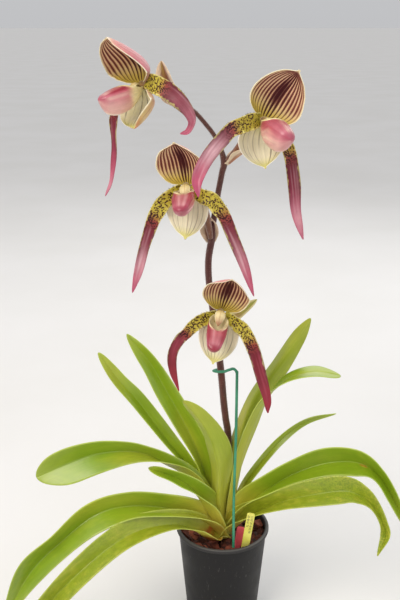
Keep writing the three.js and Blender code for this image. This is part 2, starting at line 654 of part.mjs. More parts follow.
// Rings of the pouch, shrunk by inset on every side
function pouchBody(bloom, inset) {
  const heel = vector(bloom.column).addScaledVector(vector(bloom.looks).normalize(), 3);
  const toe = vector(bloom.toe);
  const line = toe.clone().sub(heel);
  const length = line.length();
  line.normalize();
  const up = vector(bloom.dorsal.tip).sub(vector(bloom.synsepal.tip));
  up.addScaledVector(line, -up.dot(line)).normalize();
  const side = line.clone().cross(up);
  const rings = [];
  for (let i = 0; i <= POUCH_RINGS; i += 1) {
    const share = 0.5 - 0.5 * Math.cos((Math.PI * i) / POUCH_RINGS);
    const rounded = Math.sqrt(Math.max(1 - (Math.max(share - 1 + POUCH_ROUND, 0) / POUCH_ROUND) ** 2, 0));
    const sizes = along(POUCH_ROWS, share);
    const [half, above, below] = sizes.map((size, k) => size * bloom.fullness[k] * rounded);
    const reach = inset + (length - 2 * inset) * share;
    const power = lerp(bloom.square ?? 1, 1, smoothstep(share, ...POUCH_TOE));
    const ring = [];
    for (let k = 0; k < POUCH_SIDES; k += 1) {
      const angle = (2 * Math.PI * k) / POUCH_SIDES;
      const rise = squarer(Math.sin(angle), power);
      const height = rise > 0 ? above : below;
      ring.push(heel.clone().addScaledVector(line, reach)
        .addScaledVector(side, -Math.max(half - inset, 0.4) * squarer(Math.cos(angle), power))
        .addScaledVector(up, Math.max(height - inset, 0.4) * rise));
    }
    rings.push(ring);
  }
  return { solid: solidOf(loft(rings)), heel, line, up, length };
}

function makePouch(bloom, grow) {
  const outer = pouchBody(bloom, -grow);
  if (grow > 0) return outer.solid;
  const inner = pouchBody(bloom, POUCH_WALL);
  const mouth = new THREE.SphereGeometry(1, 8, 5);
  mouth.scale(outer.length * (bloom.mouthHalf ?? MOUTH_HALF), MOUTH_RADIUS, MOUTH_RADIUS);
  const basis = new THREE.Matrix4().makeBasis(outer.line, outer.up.clone().cross(outer.line), outer.up);
  mouth.applyMatrix4(basis);
  const centre = outer.heel.clone().addScaledVector(outer.line, outer.length * MOUTH_AT)
    .addScaledVector(outer.up, MOUTH_RISE);
  mouth.translate(centre.x, centre.y, centre.z);
  return outer.solid.subtract(inner.solid).subtract(solidOf(mouth));
}

function makeStaminode(bloom, grow) {
  const looks = vector(bloom.looks).normalize();
  const up = vector(bloom.dorsal.tip).sub(vector(bloom.synsepal.tip)).normalize();
  const rows = STAMINODE.map(([forward, rise, width]) => {
    const point = vector(bloom.column).addScaledVector(looks, forward).addScaledVector(up, rise);
    return [...point.toArray(), width, 0, 0];
  });
  return solidOf(blade({
    rows, looks: up.toArray(), thickness: STAMINODE_THICKNESS, steps: 6, across: 4, tip: 0.3, cup: -40,
  }, grow));
}

function makeOvary(bloom, grow) {
  const looks = vector(bloom.looks).normalize();
  const column = vector(bloom.column);
  const rows = [
    ...bloom.pedicel,
    [...column.toArray(), 4],
    [...column.clone().addScaledVector(looks, 4).toArray(), 2.8],
  ];
  return solidOf(rod(rows, 6, 9, grow));
}

function makeBract(bloom, grow) {
  return solidOf(blade({
    rows: bloom.bract, looks: bloom.bractLooks, thickness: BRACT_THICKNESS, steps: 6, across: 2, tip: 0.1,
  }, grow));
}

function makeLeaf(rows, grow) {
  return solidOf(blade({ rows, thickness: LEAF_THICKNESS, steps: LEAF_STEPS, across: 4, tip: 0.16 }, grow));
}

// Flat strip with a pointed foot and clipped corners
function makeLabel({ foot, top }, grow) {
  const low = -grow;
  const high = vector(top).distanceTo(vector(foot)) + grow;
  const half = LABEL_WIDTH / 2 + grow;
  const shape = new THREE.Shape([
    new THREE.Vector2(-half + LABEL_CORNER, low),
    new THREE.Vector2(half - LABEL_CORNER, low),
    new THREE.Vector2(half, LABEL_POINT),
    new THREE.Vector2(half, high - LABEL_CORNER),
    new THREE.Vector2(half - LABEL_CORNER, high),
    new THREE.Vector2(-half + LABEL_CORNER, high),
    new THREE.Vector2(-half, high - LABEL_CORNER),
    new THREE.Vector2(-half, LABEL_POINT),
  ]);
  const depth = LABEL_THICKNESS + 2 * grow;
  const plate = new THREE.ExtrudeGeometry(shape, { depth, bevelEnabled: false });
  plate.translate(0, 0, -depth / 2);
  const rise = vector(top).sub(vector(foot)).normalize();
  const side = rise.clone().cross(new THREE.Vector3(0.1, 1, 0)).normalize();
  const front = side.clone().cross(rise);
  plate.applyMatrix4(new THREE.Matrix4().makeBasis(side, rise, front));
  plate.translate(...foot);
  return solidOf(plate);
}

// Every solid is cut clear of the solids placed before it, grown by the gap
const grownParts = [];

function cutClear(whole) {
  const box = whole.boundingBox();
  const apart = (other) => [0, 1, 2].some((k) => other.min[k] > box.max[k] || other.max[k] < box.min[k]);
  return grownParts
    .filter((other) => !apart(other.box))
    .reduce((solid, other) => solid.subtract(other.solid), whole);
}

function cutAndPlace(name, make, colour, roughness) {
  place(name, cutClear(make(0)), colour, roughness);
  const grown = make(GAP);
  grownParts.push({ solid: grown, box: grown.boundingBox() });
}

cutAndPlace('flower_stem', (grow) => solidOf(rod(STEM, STEM_SIDES, STEM_STEPS, grow)), COLOURS.stem, 0.7);
const stakeRows = STAKE.map((point) => [...point, STAKE_RADIUS]);
cutAndPlace('stake', (grow) => solidOf(rod(stakeRows, STAKE_SIDES, STAKE_STEPS, grow)), COLOURS.stake, 0.4);
for (const label of LABELS) {
  cutAndPlace(label.name, (grow) => makeLabel(label, grow), label.colour, 0.5);
}
for (const [k, bloom] of BLOOMS.entries()) {
  const number = k + 1;
  cutAndPlace(`ovary_${number}`, (grow) => makeOvary(bloom, grow), COLOURS.ovary, 0.6);
  cutAndPlace(`staminode_${number}`, (grow) => makeStaminode(bloom, grow), COLOURS.staminode);
  cutAndPlace(`pouch_${number}`, (grow) => makePouch(bloom, grow), COLOURS.pouch, 0.35);
  cutAndPlace(`dorsal_sepal_${number}`,
    (grow) => makeSepal(bloom, bloom.dorsal, DORSAL_OUTLINE, grow), COLOURS.dorsal);
  cutAndPlace(`synsepal_${number}`,
    (grow) => makeSepal(bloom, bloom.synsepal, SYNSEPAL_OUTLINE, grow), COLOURS.synsepal);
  cutAndPlace(`petal_left_${number}`, (grow) => makePetal(bloom.petalLeft, 1, grow), COLOURS.petal);
  cutAndPlace(`petal_right_${number}`, (grow) => makePetal(bloom.petalRight, 2, grow), COLOURS.petal);
  cutAndPlace(`bract_${number}`, (grow) => makeBract(bloom, grow), COLOURS.bract, 0.6);
}
const FRONT_TO_BACK = [3, 12, 2, 11, 7, 1, 9, 6, 5, 8, 4, 10];
for (const number of FRONT_TO_BACK) {
  const name = `leaf_${number}`;
  cutAndPlace(name, (grow) => makeLeaf(LEAVES[name], grow), COLOURS.leaf, 0.35);
}
cutAndPlace('crown', makeCrown, COLOURS.crown, 0.6);
place('bark', cutClear(makeBark()), COLOURS.bark, 0.9);
place('pot', makePot(), COLOURS.pot, 0.55);

export default object;
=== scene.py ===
"""Potted slipper orchid: leaves, blooms, stem, stake, labels and pot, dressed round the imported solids."""

import math

import bpy
import numpy as np
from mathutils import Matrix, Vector


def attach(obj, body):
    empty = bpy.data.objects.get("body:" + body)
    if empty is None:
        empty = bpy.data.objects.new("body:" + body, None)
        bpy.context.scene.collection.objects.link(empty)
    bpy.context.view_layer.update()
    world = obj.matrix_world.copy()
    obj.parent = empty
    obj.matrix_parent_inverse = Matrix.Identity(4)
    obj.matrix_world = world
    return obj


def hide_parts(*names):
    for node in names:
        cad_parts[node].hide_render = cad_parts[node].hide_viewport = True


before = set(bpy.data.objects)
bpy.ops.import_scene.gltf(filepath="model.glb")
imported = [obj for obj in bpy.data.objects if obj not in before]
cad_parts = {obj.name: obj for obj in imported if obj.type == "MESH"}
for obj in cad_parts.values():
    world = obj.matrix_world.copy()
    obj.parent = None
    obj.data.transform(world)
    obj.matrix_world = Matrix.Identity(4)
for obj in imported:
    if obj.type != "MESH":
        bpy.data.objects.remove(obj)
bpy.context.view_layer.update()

MM = 0.001

# Camera: 50 mm lens at the photo's angle, looking along +Y and CAMERA_DOWN degrees below the level
CAMERA_PLACE = (-0.0257, -0.8237, 0.6547)
CAMERA_DOWN = 18.2
camera_data = bpy.data.cameras.new("camera")
camera_data.lens = 50
camera_data.sensor_width = 36
camera = bpy.data.objects.new("camera", camera_data)
camera.location = CAMERA_PLACE
camera.rotation_euler = (math.radians(90 - CAMERA_DOWN), 0, 0)
bpy.context.scene.collection.objects.link(camera)
bpy.context.scene.camera = camera


# Shapes: sizes and places in millimetres, as in the solids

# The side that the photo is taken from, which most blades turn their faces to
VIEWER = (0, -1, 0)
# Thickness of each kind of blade, at its middle and at its margin
LEAF_THICKNESS = (1.6, 0.7)
SEPAL_THICKNESS = (1.0, 0.6)
PETAL_THICKNESS = (1.1, 0.6)
BRACT_THICKNESS = (0.9, 0.5)
STAMINODE_THICKNESS = (1.2, 0.8)
LABEL_THICKNESS = (0.8, 0.6)
# Blades: radius of a keel, the power that brings the rows closer together towards the tip, and the
# square of the tip's least width as a share
KEEL_ROUND = 2.0
TIP_CROWDING = 1.3
TIP_LEAST = 0.01
# How far apart the upper and the under side of a skin lie in its patterns
SIDE_APART = 40.0

# Leaf rows: x, y, z of the keel, width, fold of each half and roll in degrees
LEAVES = {
    "leaf_1": [
        (-6, -4, 108, 26, 60, 84), (-16, -5, 136, 32, 64, 84), (-27, -8, 166, 29, 70, 88),
        (-42, -13, 186, 27, 70, 90), (-63, -20, 203, 26, 64, 70), (-84, -24, 217, 28, 56, 34),
        (-106, -30, 224, 39, 52, 20),
        (-136, -38, 225, 49, 45, 12), (-170, -46, 216, 48, 35, 10), (-197, -52, 205, 38, 25, 10),
    ],
    "leaf_2": [
        (1, -11, 104, 28, 55, 86), (-15, -17, 124, 40, 58, 84), (-35, -24, 142, 43, 60, 64),
        (-63, -34, 157, 46, 60, 45), (-101, -46, 167, 48, 55, 35), (-136, -56, 163, 46, 45, 17),
        (-171, -66, 138, 42, 50, 10), (-206, -74, 103, 37, 42, 14), (-240, -82, 42, 14, 40, 10),
    ],
    "leaf_3": [
        (1, -15, 106, 26, 52, 84), (-14, -22, 109, 42, 55, 84), (-33, -32, 129, 41, 55, 80),
        (-56, -48, 145, 35, 45, 72), (-89, -66, 150, 36, 36, 55), (-118, -82, 142, 36, 40, 35),
        (-155, -98, 116, 36, 45, 20), (-191, -108, 79, 32, 46, 10), (-222, -116, 40, 16, 36, 10),
    ],
    "leaf_4": [
        (-7, 7, 108, 26, 60, 40), (-26, 16, 156, 26, 66, 36), (-45, 25, 183, 28, 60, 36),
        (-64, 33, 205, 28, 50, 38), (-98, 50, 246, 24, 40, 30), (-120, 60, 268, 19, 35, 25),
        (-143, 70, 297, 14, 30, 20),
    ],
    "leaf_5": [
        (-6, 2, 108, 28, 60, 35), (-17, 9, 160, 35, 60, 28), (-28, 16, 197, 40, 56, 26),
        (-45, 27, 232, 38, 50, 16), (-65, 40, 265, 34, 46, 10), (-84, 52, 295, 26, 44, 6),
        (-109, 64, 322, 14, 35, 5),
    ],
    "leaf_6": [
        (-1, -8, 106, 28, 62, 175), (-4, -16, 150, 35, 60, 176), (-4, -24, 190, 38, 52, 170),
        (-8, -31, 220, 37, 42, 160), (-15.5, -37, 247, 30, 36, 155), (-27.5, -38, 268, 24, 30, 155),
        (-43, -36, 286, 15, 22, 155),
    ],
    "leaf_7": [
        (-4, -12, 112, 32, 60, 88), (-21, -19, 150, 40, 62, 80), (-33, -24, 173, 32, 60, 56),
        (-47, -27, 187, 27, 56, 36), (-63, -29, 196, 22, 60, 33), (-81, -30, 204, 14, 50, 30),
    ],
    "leaf_8": [
        (6, -1, 108, 26, 58, 195), (11, 0, 168, 30, 55, 185), (17, 0, 215, 34, 55, 172),
        (31, -3, 269, 34, 52, 150), (56, -6, 312, 30, 48, 147), (75, -8, 343, 22, 44, 158),
        (89, -9, 367, 10, 35, 165),
    ],
    "leaf_9": [
        (8, -6, 113, 15, 40, -140), (13, -8, 166, 15, 25, -135), (20, -11, 208, 20, 12, -130),
        (31, -16, 247, 22, 8, -130), (44, -22, 282, 24, 8, -122), (64, -27, 305, 25, 10, -98),
        (92, -27, 314, 23, 8, -80), (121, -23, 308, 18, 6, -76),
    ],
    "leaf_10": [
        (10, 6, 112, 12, 50, -45), (22, 11, 152, 13, 48, -20), (39, 16, 178, 13, 42, -24),
        (65, 22, 209, 12, 40, -20), (94, 28, 230, 8, 38, -17), (129, 34, 237, 4, 35, -20),
    ],
    "leaf_11": [
        (6, -6, 107, 30, 60, -84), (28, -11, 146, 42, 62, -66), (52, -16, 172, 46, 64, -44),
        (80, -19, 192, 48, 60, -36), (112, -23, 206, 48, 52, -34), (142, -27, 209, 44, 52, -24),
        (163, -31, 199, 31, 62, -14), (181, -36, 174, 26, 62, -2), (200, -42, 135, 15, 50, 5),
    ],
    "leaf_12": [
        (1, -12, 105, 26, 52, -84), (12, -14, 118, 36, 57, -82), (26, -16, 133, 38, 60, -66),
        (46, -26, 152, 38, 62, -51), (71, -38, 170, 38, 53, -46), (95, -48, 182, 38, 43, -44),
        (124, -57, 192, 36, 37, -39), (141, -63, 190, 30, 48, -34), (154, -68, 181, 21, 58, -26),
        (164, -72, 165, 17, 60, -8), (168, -76, 151, 17, 50, 28), (159, -82, 130, 9, 40, 60),
    ],
}

# Flower stem: x, y, z, radius
STEM = [
    (4, 8, 96, 4.4), (6, 9, 166, 4.1), (5.5, 8, 221, 3.9), (2.5, 7, 245, 3.8), (0, 6, 267, 3.8),
    (-3, 4, 301, 3.8), (-9, 2, 350, 3.7), (-16, 0, 400, 3.5), (-17, 0, 427, 3.5), (-14, 0, 448, 3.6),
    (-13, 0, 461, 3.2), (-8, 0, 494, 3), (-4, 0, 516, 3), (-2, 0, 527, 3.3), (-6, 3, 542, 2.3),
    (-12, 6, 553, 2.2), (-20, 8, 563, 2.2), (-29, 8, 573, 2.2), (-39, 6, 581, 2.4), (-45, 2, 587, 2.8),
]

# Blooms, highest first. column is the middle of the column, and looks the way the bloom looks. A
# sepal's cup is the half angle of its arc, or one for each side. Its middle line bows back by bulge
# and aside by lean, its outline opens and closes by two powers, nub is the nub's share of its length,
# and its margin waves by margin. toe ends the pouch, and fullness multiplies its half width, its
# height and its depth. pouch holds the cream share at its heel, how pale its belly is, how strong the
# painted highlight over its face is, and how dark its toe is. square below 1 squares its sections,
# and mouth is its mouth's half length.
# rosy holds, for each petal, where its rosy part is, how long and how strong. Petal and bract rows are
# like leaf rows, and pedicel rows end in a radius.
BLOOMS = [
    {
        "column": (-80, -19, 602),
        "looks": (-0.79, -0.6, -0.1),
        "dorsal": {"tip": (-109, -45, 645), "looks": (-0.62, -0.78, -0.1), "width": 69, "cup": (50, 78),
                   "bulge": 15, "outline": (0.36, 0.48), "nub": 0, "margin": 0.5},
        "synsepal": {"tip": (-87, -36, 564), "looks": (-0.7, -0.7, 0.1), "width": 60, "cup": (74, 46),
                     "bulge": 11, "outline": (0.45, 0.4), "nub": 0},
        "toe": (-117, -52, 591),
        "fullness": (0.92, 0.55, 1.0),
        "pouch": (0.38, 1.0, 0.2, 0.4),
        "rosy": ((0.93, 0.1, 0.5), (0.7, 0.2, 0.3)),
        "petal_left": [
            (-80, -17, 601, 9, 0, 0), (-95, 0, 591, 13, 0, 0), (-106, 6, 581, 11, 0, 10),
            (-110, 8, 571, 9, 0, 20), (-110.5, 9, 559, 8.5, 0, 30), (-111, 9, 534, 7, 0, 40),
            (-114, 8, 509, 5.5, 0, 40), (-121, 6, 492, 3, 0, 40),
        ],
        "petal_right": [
            (-76, -24, 606, 11, 0, 0), (-69, -38, 605, 17, 0, 0), (-60, -50, 602, 17, 0, 0),
            (-51, -56, 597, 16.5, 0, 0), (-43, -60, 590, 14.5, 0, 0), (-36, -58, 581, 10.5, 0, 0),
            (-33, -53, 572, 7, 0, 0), (-37, -48, 563, 5, 0, 0), (-44, -45, 560, 3, 0, 0),
        ],
        "pedicel": [(-46, 1, 588, 2.4), (-54, -2, 594, 3), (-64, -8, 600, 3.4), (-73, -13, 603, 3.6)],
        "bract": [
            (-46, 3, 583, 14, 40, 0), (-52, 8, 594, 28, 36, 0),
            (-58, 10, 608, 25, 36, 0), (-63, 8, 623, 7, 30, 0),
        ],
        "bract_looks": (-0.6, -0.8, -0.1),
    },
    {
        "column": (34, -27, 570),
        "looks": (0.62, -0.78, 0),
        "dorsal": {"tip": (66, -30, 616), "looks": (0.3, -0.95, 0.1), "width": 59, "cup": 38, "bulge": 6,
                   "lean": -1, "outline": (0.34, 0.5), "margin": 0.7},
        "synsepal": {"tip": (36, -38, 527), "looks": (0.35, -0.93, 0.1), "width": 54, "cup": 38, "bulge": 8,
                     "lean": 2},
        "toe": (56, -66, 557),
        "fullness": (1.0, 0.95, 0.94),
        "pouch": (0.16, 0.95, 0.4, 0.5),
        "rosy": ((0.62, 0.14, 0.85), (0.84, 0.12, 0.7)),
        "petal_left": [
            (30, -31, 572, 12, 0, 0), (21, -44, 571, 16, 0, 0), (12, -54, 569, 15, 0, 0),
            (3, -62, 566, 14, 0, 0), (-5, -68, 559, 13.5, 0, 0), (-19, -78, 543, 13, 0, 0),
            (-28, -84, 525, 10.5, 0, 0), (-27, -86, 509, 4, 0, 0),
        ],
        "petal_right": [
            (38, -22, 568, 9, 0, 0), (49, -12, 558, 13, 0, 0), (58, -6, 546, 13, 0, 0),
            (64, -3, 529, 13, 0, 0), (68, -2, 503, 13, 0, 0), (71, -2, 476, 10, 0, 0),
            (79, -2, 449, 4, 0, 0),
        ],
        "pedicel": [(1, -2, 529, 2.2), (8, -6, 538, 2.6), (18, -13, 552, 3.4), (28, -21, 565, 3.8)],
        "bract": [
            (2, 1, 524, 14, 60, 0), (10, -2, 531, 22, 60, 0),
            (20, -8, 540, 20, 55, 0), (30, -12, 550, 8, 40, 0),
        ],
        "bract_looks": (-0.4, -0.3, 0.9),
    },
    {
        "column": (-39, -33, 509),
        "looks": (-0.1, -0.99, -0.05),
        "dorsal": {"tip": (-50, -50, 553), "looks": (-0.35, -0.9, -0.25), "width": 54, "cup": 38, "bulge": 7,
                   "outline": (0.32, 0.36), "margin": 0.7},
        "synsepal": {"tip": (-40, -48, 461), "looks": (-0.1, -0.98, 0.1), "width": 43, "cup": 38, "bulge": 5,
                     "lean": -2},
        "toe": (-44, -80, 495),
        "fullness": (0.9, 0.5, 0.6),
        "square": 0.72,
        "pouch": (0.0, 0.7, 0.7, 0.4),
        "mouth": 0.34,
        "rosy": ((0.74, 0.13, 0.8), (0.7, 0.18, 0.4)),
        "petal_left": [
            (-43, -34, 508, 9, 0, 0), (-50, -40, 503, 14, 0, 0), (-60, -44, 496, 15, 0, 0),
            (-66, -44, 487, 15, 0, 0), (-71, -43, 477, 13, 0, 0), (-79, -40, 453, 10.5, 0, 0),
            (-86, -36, 427, 9, 0, 0), (-93, -32, 402, 4, 0, 0),
        ],
        "petal_right": [
            (-35, -34, 508, 9, 0, 0), (-25, -42, 502, 14, 0, 0), (-15, -46, 499, 15, 0, 0),
            (-9, -48, 492, 15, 0, 0), (-3, -50, 484, 13, 0, 0), (6, -52, 463, 11.5, 0, 0),
            (16, -52, 438, 10, 0, 0), (27, -50, 404, 4, 0, 0),
        ],
        "pedicel": [(-15, -3, 451, 2.6), (-17, -7, 463, 3.2), (-22, -13, 484, 3.7), (-34, -21, 506, 3.8)],
        "bract": [
            (-14, 3, 446, 13, 45, 0), (-15, 3, 454, 21, 35, 0),
            (-17, 1, 464, 20, 30, 0), (-20, -2, 474, 6, 25, 0),
        ],
        "bract_looks": (-0.15, -0.95, 0.2),
    },
    {
        "column": (-5, -33, 382),
        "looks": (-0.05, -0.98, 0.1),
        "dorsal": {"tip": (5, -66, 426), "looks": (-0.2, -0.8, -0.56), "width": 52, "cup": 44, "bulge": 8,
                   "margin": 1.3},
        "synsepal": {"tip": (-13, -48, 332), "looks": (0.05, -0.98, 0.1), "width": 44, "cup": 42, "bulge": 5,
                     "lean": -1.5},
        "toe": (-13, -79, 359),
        "fullness": (0.86, 0.4, 0.66),
        "square": 0.85,
        "pouch": (0.3, 0.5, 0.75, 0.7),
        "mouth": 0.44,
        "rosy": ((0.5, 0.15, 0.25), (0.8, 0.1, 0.1)),
        "petal_left": [
            (-9, -35, 381, 9, 0, 0), (-17, -39, 378, 14, 0, 0), (-25, -41, 376, 14, 0, 0),
            (-32, -43, 371, 13, 0, 0), (-39, -45, 364, 12, 0, 0), (-46, -47, 358, 11, 0, 0),
            (-53, -48, 343, 10, 0, 0), (-53, -48, 325, 8, 0, 0), (-47, -46, 301, 3, 0, 0),
        ],
        "petal_right": [
            (-1, -35, 381, 9, 0, 0), (11, -41, 372, 14, 0, 0), (19, -44, 365, 14, 0, 0),
            (28, -48, 347, 13, 0, 0), (35, -50, 323, 12, 0, 0), (42, -50, 297, 9, 0, 0),
            (44, -49, 278, 4, 0, 0),
        ],
        "pedicel": [(-8, -3, 344, 2.4), (-8, -8, 354, 2.8), (-7, -16, 367, 3.4), (-6, -25, 378, 3.8)],
        "bract": [
            (-6, 5, 342, 16, 60, 0), (2, 5, 352, 24, 60, 0),
            (14, 5, 363, 22, 50, 0), (34, 5, 383, 5, 30, 0),
        ],
        "bract_looks": (-0.6, -0.7, 0.4),
    },
]

# Sepals: the usual outlines and nub, the veins on half a dorsal sepal, the number of rows, where along
# the line from the column a sepal starts and how far behind it, and its least width at the foot and
# how much less that is at the tip
DORSAL_OUTLINE = (0.42, 0.42)
SYNSEPAL_OUTLINE = (0.48, 0.52)
NUB_SHARE = 0.05
DORSAL_VEINS = 7.5
SEPAL_ROWS = 10
SEPAL_FOOT = 0.03
SEPAL_SUNK = 2
SEPAL_LEAST = (10, 6)

# Pouch: half width, height above and depth below its line, from heel to toe, then how far it starts in
# front of the column, the share over which its end rounds off, its wall and its number of sections
POUCH_ROWS = [
    (5, 4, 6), (9, 7, 12), (11, 9, 16), (11.5, 10.5, 18), (11.3, 10.5, 18.5), (10, 9.5, 18),
    (8.5, 7.5, 15.5), (6, 4.5, 10),
]
POUCH_START = 3
POUCH_ROUND = 0.12
POUCH_WALL = 1.0
POUCH_STEPS = 72
# The flattened ball that takes the mouth out: where along the pouch, its usual half length as a share,
# its height above the line and its radius, and the least half angle that counts as open
MOUTH_AT = 0.14
MOUTH_HALF = 0.3
MOUTH_RISE = 9
MOUTH_RADIUS = 12
MOUTH_LEAST = 0.12
# The mouth's rim: where across the skin it starts to turn, how far it turns out, and the share of that
# upwards
RIM_FROM = 0.86
RIM_OUT = 0.9
RIM_UP = 0.6

# Staminode: forward of the column, above it and width, from its root to its tip
STAMINODE = [(3, 1, 4), (6, 3, 8), (10, 2.5, 10.5), (13.5, -1.5, 10.5), (15.5, -7, 8.5), (16, -12, 3.5)]

# Hairs: the angles of their three corners and the thickness of down. Dark hairs of a petal: length,
# thickness, how many in how many tufts, and on which of its rows
THIRDS = (0, 2.0944, 4.1888)
DOWN_THICK = 0.14
DARK_HAIR_REACH = 1.5
DARK_HAIR_THICK = 0.2
DARK_HAIRS = 66
TUFTS = 22
SPOTTED_ROWS = (8, 100)

# Stake: x, y, z of the wire's middle
STAKE_RADIUS = 1.5
STAKE = [
    (10, -40, 62), (11, -38, 109), (11, -33, 166), (12.5, -26, 240), (13, -20, 304), (12.6, -20, 311),
    (9.5, -19.5, 314.5), (5, -16, 312), (0, -11, 308), (-6, -7, 306), (-10, -2, 304.5), (-11, 4, 302.5),
    (-8, 10, 301), (-3, 12.5, 300.5),
]

# Labels: width, radius of the top corners, height and half width of the pointed foot, the way their
# backs look, and for each its foot, its top and how far it bows back
LABEL_WIDTH = 8.6
LABEL_CORNER = 2.4
LABEL_POINT = 12
LABEL_POINT_HALF = 2.25
LABEL_BACK = (0.1, 1, 0)
LABELS = {
    "label_yellow": ((21, -31, 82), (29.5, -44, 157), 0.4),
    "label_red": ((14, -29, 84), (19.5, -30, 131), -0.3),
}

# Numbers on the yellow label: the lines, their size and thickness, how far below the top they start,
# the first line's place across, the step to the next one, and how far they stand off the middle
WRITING = ["12 07 34 18 52 90", "25 40 61 73"]
WRITING_SIZE = 3.4
WRITING_THICKNESS = 0.04
WRITING_FROM = 3.5
WRITING_SIDE = 0.5
WRITING_STEP = 3.5
WRITING_PROUD = LABEL_THICKNESS[0] / 2 + 0.03

# Pot: its height with and without the rim, outside radii, wall, floor and drain holes
POT_HEIGHT = 115
POT_RIM_HEIGHT = 4
UNDER_RIM = POT_HEIGHT - POT_RIM_HEIGHT
POT_FOOT_RADIUS = 40
POT_WALL_TOP_RADIUS = 50
POT_RIM_RADIUS = 52.5
POT_WALL = 1.4
POT_FLOOR = 2
POT_SIDES = 144
DRAIN_HOLES = 6
DRAIN_RADIUS = 4
DRAIN_CIRCLE = 27
DRAIN_SIDES = 32

# Bark: its level, how clear it stays of the pot, and its chips, which lie on a spiral of the golden
# angle
BARK_LEVEL = 100
BARK_CLEAR = 0.3
BARK_SIDES = 64
CHIP_COUNT = 100
CHIP_CORNERS = 7
CHIP_CIRCLE = 45.5
GOLDEN_ANGLE = 2.39996

# Crown: radius and height up its outline, how much wider than round it is at the top, and the middle it
# stands on
CROWN = [(0, 88), (7, 90), (9, 98), (9, 108), (0, 114)]
CROWN_SPREAD = 3
CROWN_AT = (0, -3)
CROWN_STEPS = 28
CROWN_SIDES = 48

# Floor: how far it reaches each way, in metres
FLOOR_REACH = 300


# Curves and meshes

def unit(vectors):
    """Each vector divided by its length."""
    return vectors / np.maximum(np.linalg.norm(vectors, axis=-1, keepdims=True), 1e-9)


def along(rows, u):
    """Rows of numbers read at the shares u: uniform Catmull-Rom, with the ends mirrored."""
    p = np.asarray(rows, float)
    last = len(p) - 1
    e = np.vstack([2 * p[0] - p[1], p, 2 * p[-1] - p[-2]])
    t = np.clip(np.asarray(u, float), 0, 1) * last
    i = np.minimum(t.astype(int), last - 1)
    f = (t - i)[:, None]
    a, b, c, d = e[i], e[i + 1], e[i + 2], e[i + 3]
    squared = 2 * a - 5 * b + 4 * c - d
    cubed = 3 * b - a - 3 * c + d
    return 0.5 * (2 * b + (c - a) * f + squared * f ** 2 + cubed * f ** 3)


def heading(rows, u):
    """Unit direction of the curve at the shares u."""
    points = [row[:3] for row in rows]
    return unit(along(points, np.minimum(u + 1e-3, 1)) - along(points, np.maximum(u - 1e-3, 0)))


def lengths(points):
    """Distance travelled along a line of points, starting at 0."""
    return np.concatenate([[0], np.cumsum(np.linalg.norm(np.diff(points, axis=0), axis=1))])


def smooth(x, low, high):
    """0 below low, 1 above high, and an S curve between."""
    t = np.clip((x - low) / (high - low), 0, 1)
    return t * t * (3 - 2 * t)


def quads(rows, columns):
    """Four-sided faces of a grid of points that is kept row by row."""
    k = np.arange((rows - 1) * columns).reshape(rows - 1, columns)[:, :-1]
    return np.stack([k, k + 1, k + columns + 1, k + columns], -1).reshape(-1, 4)


def add_piece(name, points, faces, materials, slot, replaced=(), kinds=None, flat=None, **fields):
    """A mesh piece in metres that rides on the body. Faces with a repeated corner become triangles
    or vanish. kinds picks each face's material, flat marks faces that aren't smoothed, and each
    field is a float, or three floats, at every point."""
    corners = [list(dict.fromkeys(face)) for face in np.asarray(faces).tolist()]
    keep = [k for k, face in enumerate(corners) if len(face) > 2]
    used = np.zeros(len(points), bool)
    used[[corner for k in keep for corner in corners[k]]] = True
    new_index = np.cumsum(used) - 1
    numbered = [[int(new_index[corner]) for corner in corners[k]] for k in keep]
    mesh = bpy.data.meshes.new(name)
    mesh.from_pydata((points[used] * MM).tolist(), [], numbered)
    for field, values in fields.items():
        values = np.asarray(values, np.float32)[used]
        wide = values.ndim == 2
        layer = mesh.attributes.new(field, "FLOAT_VECTOR" if wide else "FLOAT", "POINT")
        layer.data.foreach_set("vector" if wide else "value", values.ravel())
    smoothed = np.ones(len(keep), bool) if flat is None else ~np.asarray(flat)[keep]
    mesh.polygons.foreach_set("use_smooth", smoothed)
    for material in materials:
        mesh.materials.append(material)
    if kinds is not None:
        mesh.polygons.foreach_set("material_index", np.asarray(kinds, np.int32)[keep])
    mesh.update()
    piece = bpy.data.objects.new(name, mesh)
    bpy.context.scene.collection.objects.link(piece)
    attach(piece, "root")
    if replaced:
        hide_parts(*replaced)
    return piece


def blade_grid(rows, looks, steps, across, tip, cup=0, ripple=None):
    """Middle surface of a blade. Along: the rows' curve. Across: an arc of half angle cup, or one for
    each half, or else two halves folded up at a round keel. The end rounds off as a circle over the
    share tip. ripple takes (u, v, half width) and gives extra height. Gives the points, their places
    across as shares and along and across in mm, and the way the blade faces."""
    u = 1 - (1 - np.linspace(0, 1, steps + 1)) ** TIP_CROWDING
    v = np.linspace(-1, 1, across + 1)
    data = along(rows, u)
    t = heading(rows, u)
    level = unit(np.cross(t, np.asarray(looks, float)))
    face = np.cross(level, t)
    turn = np.radians(data[:, 5:6])
    a = level * np.cos(turn) - face * np.sin(turn)
    n = face * np.cos(turn) + level * np.sin(turn)
    end = np.clip((u - 1 + tip) / tip, 0, 1)
    half = data[:, 3] / 2 * np.sqrt(np.maximum(1 - end ** 2, TIP_LEAST))
    fold = np.radians(data[:, 4])[:, None]
    s = half[:, None] * v
    if cup:
        k = np.radians(np.where(v < 0, *cup) if isinstance(cup, tuple) else cup)
        offset = half[:, None] * np.sin(k * v) / k
        rise = half[:, None] * (1 - np.cos(k * v)) / k
    else:
        offset = s * np.cos(fold)
        rise = (np.sqrt(s ** 2 + KEEL_ROUND ** 2) - KEEL_ROUND) * np.sin(fold)
    if ripple:
        rise = rise + ripple(u[:, None], v[None, :], half[:, None])
    points = data[:, None, :3] + a[:, None] * offset[..., None] + n[:, None] * rise[..., None]
    return points, v, lengths(data[:, :3]), s, n


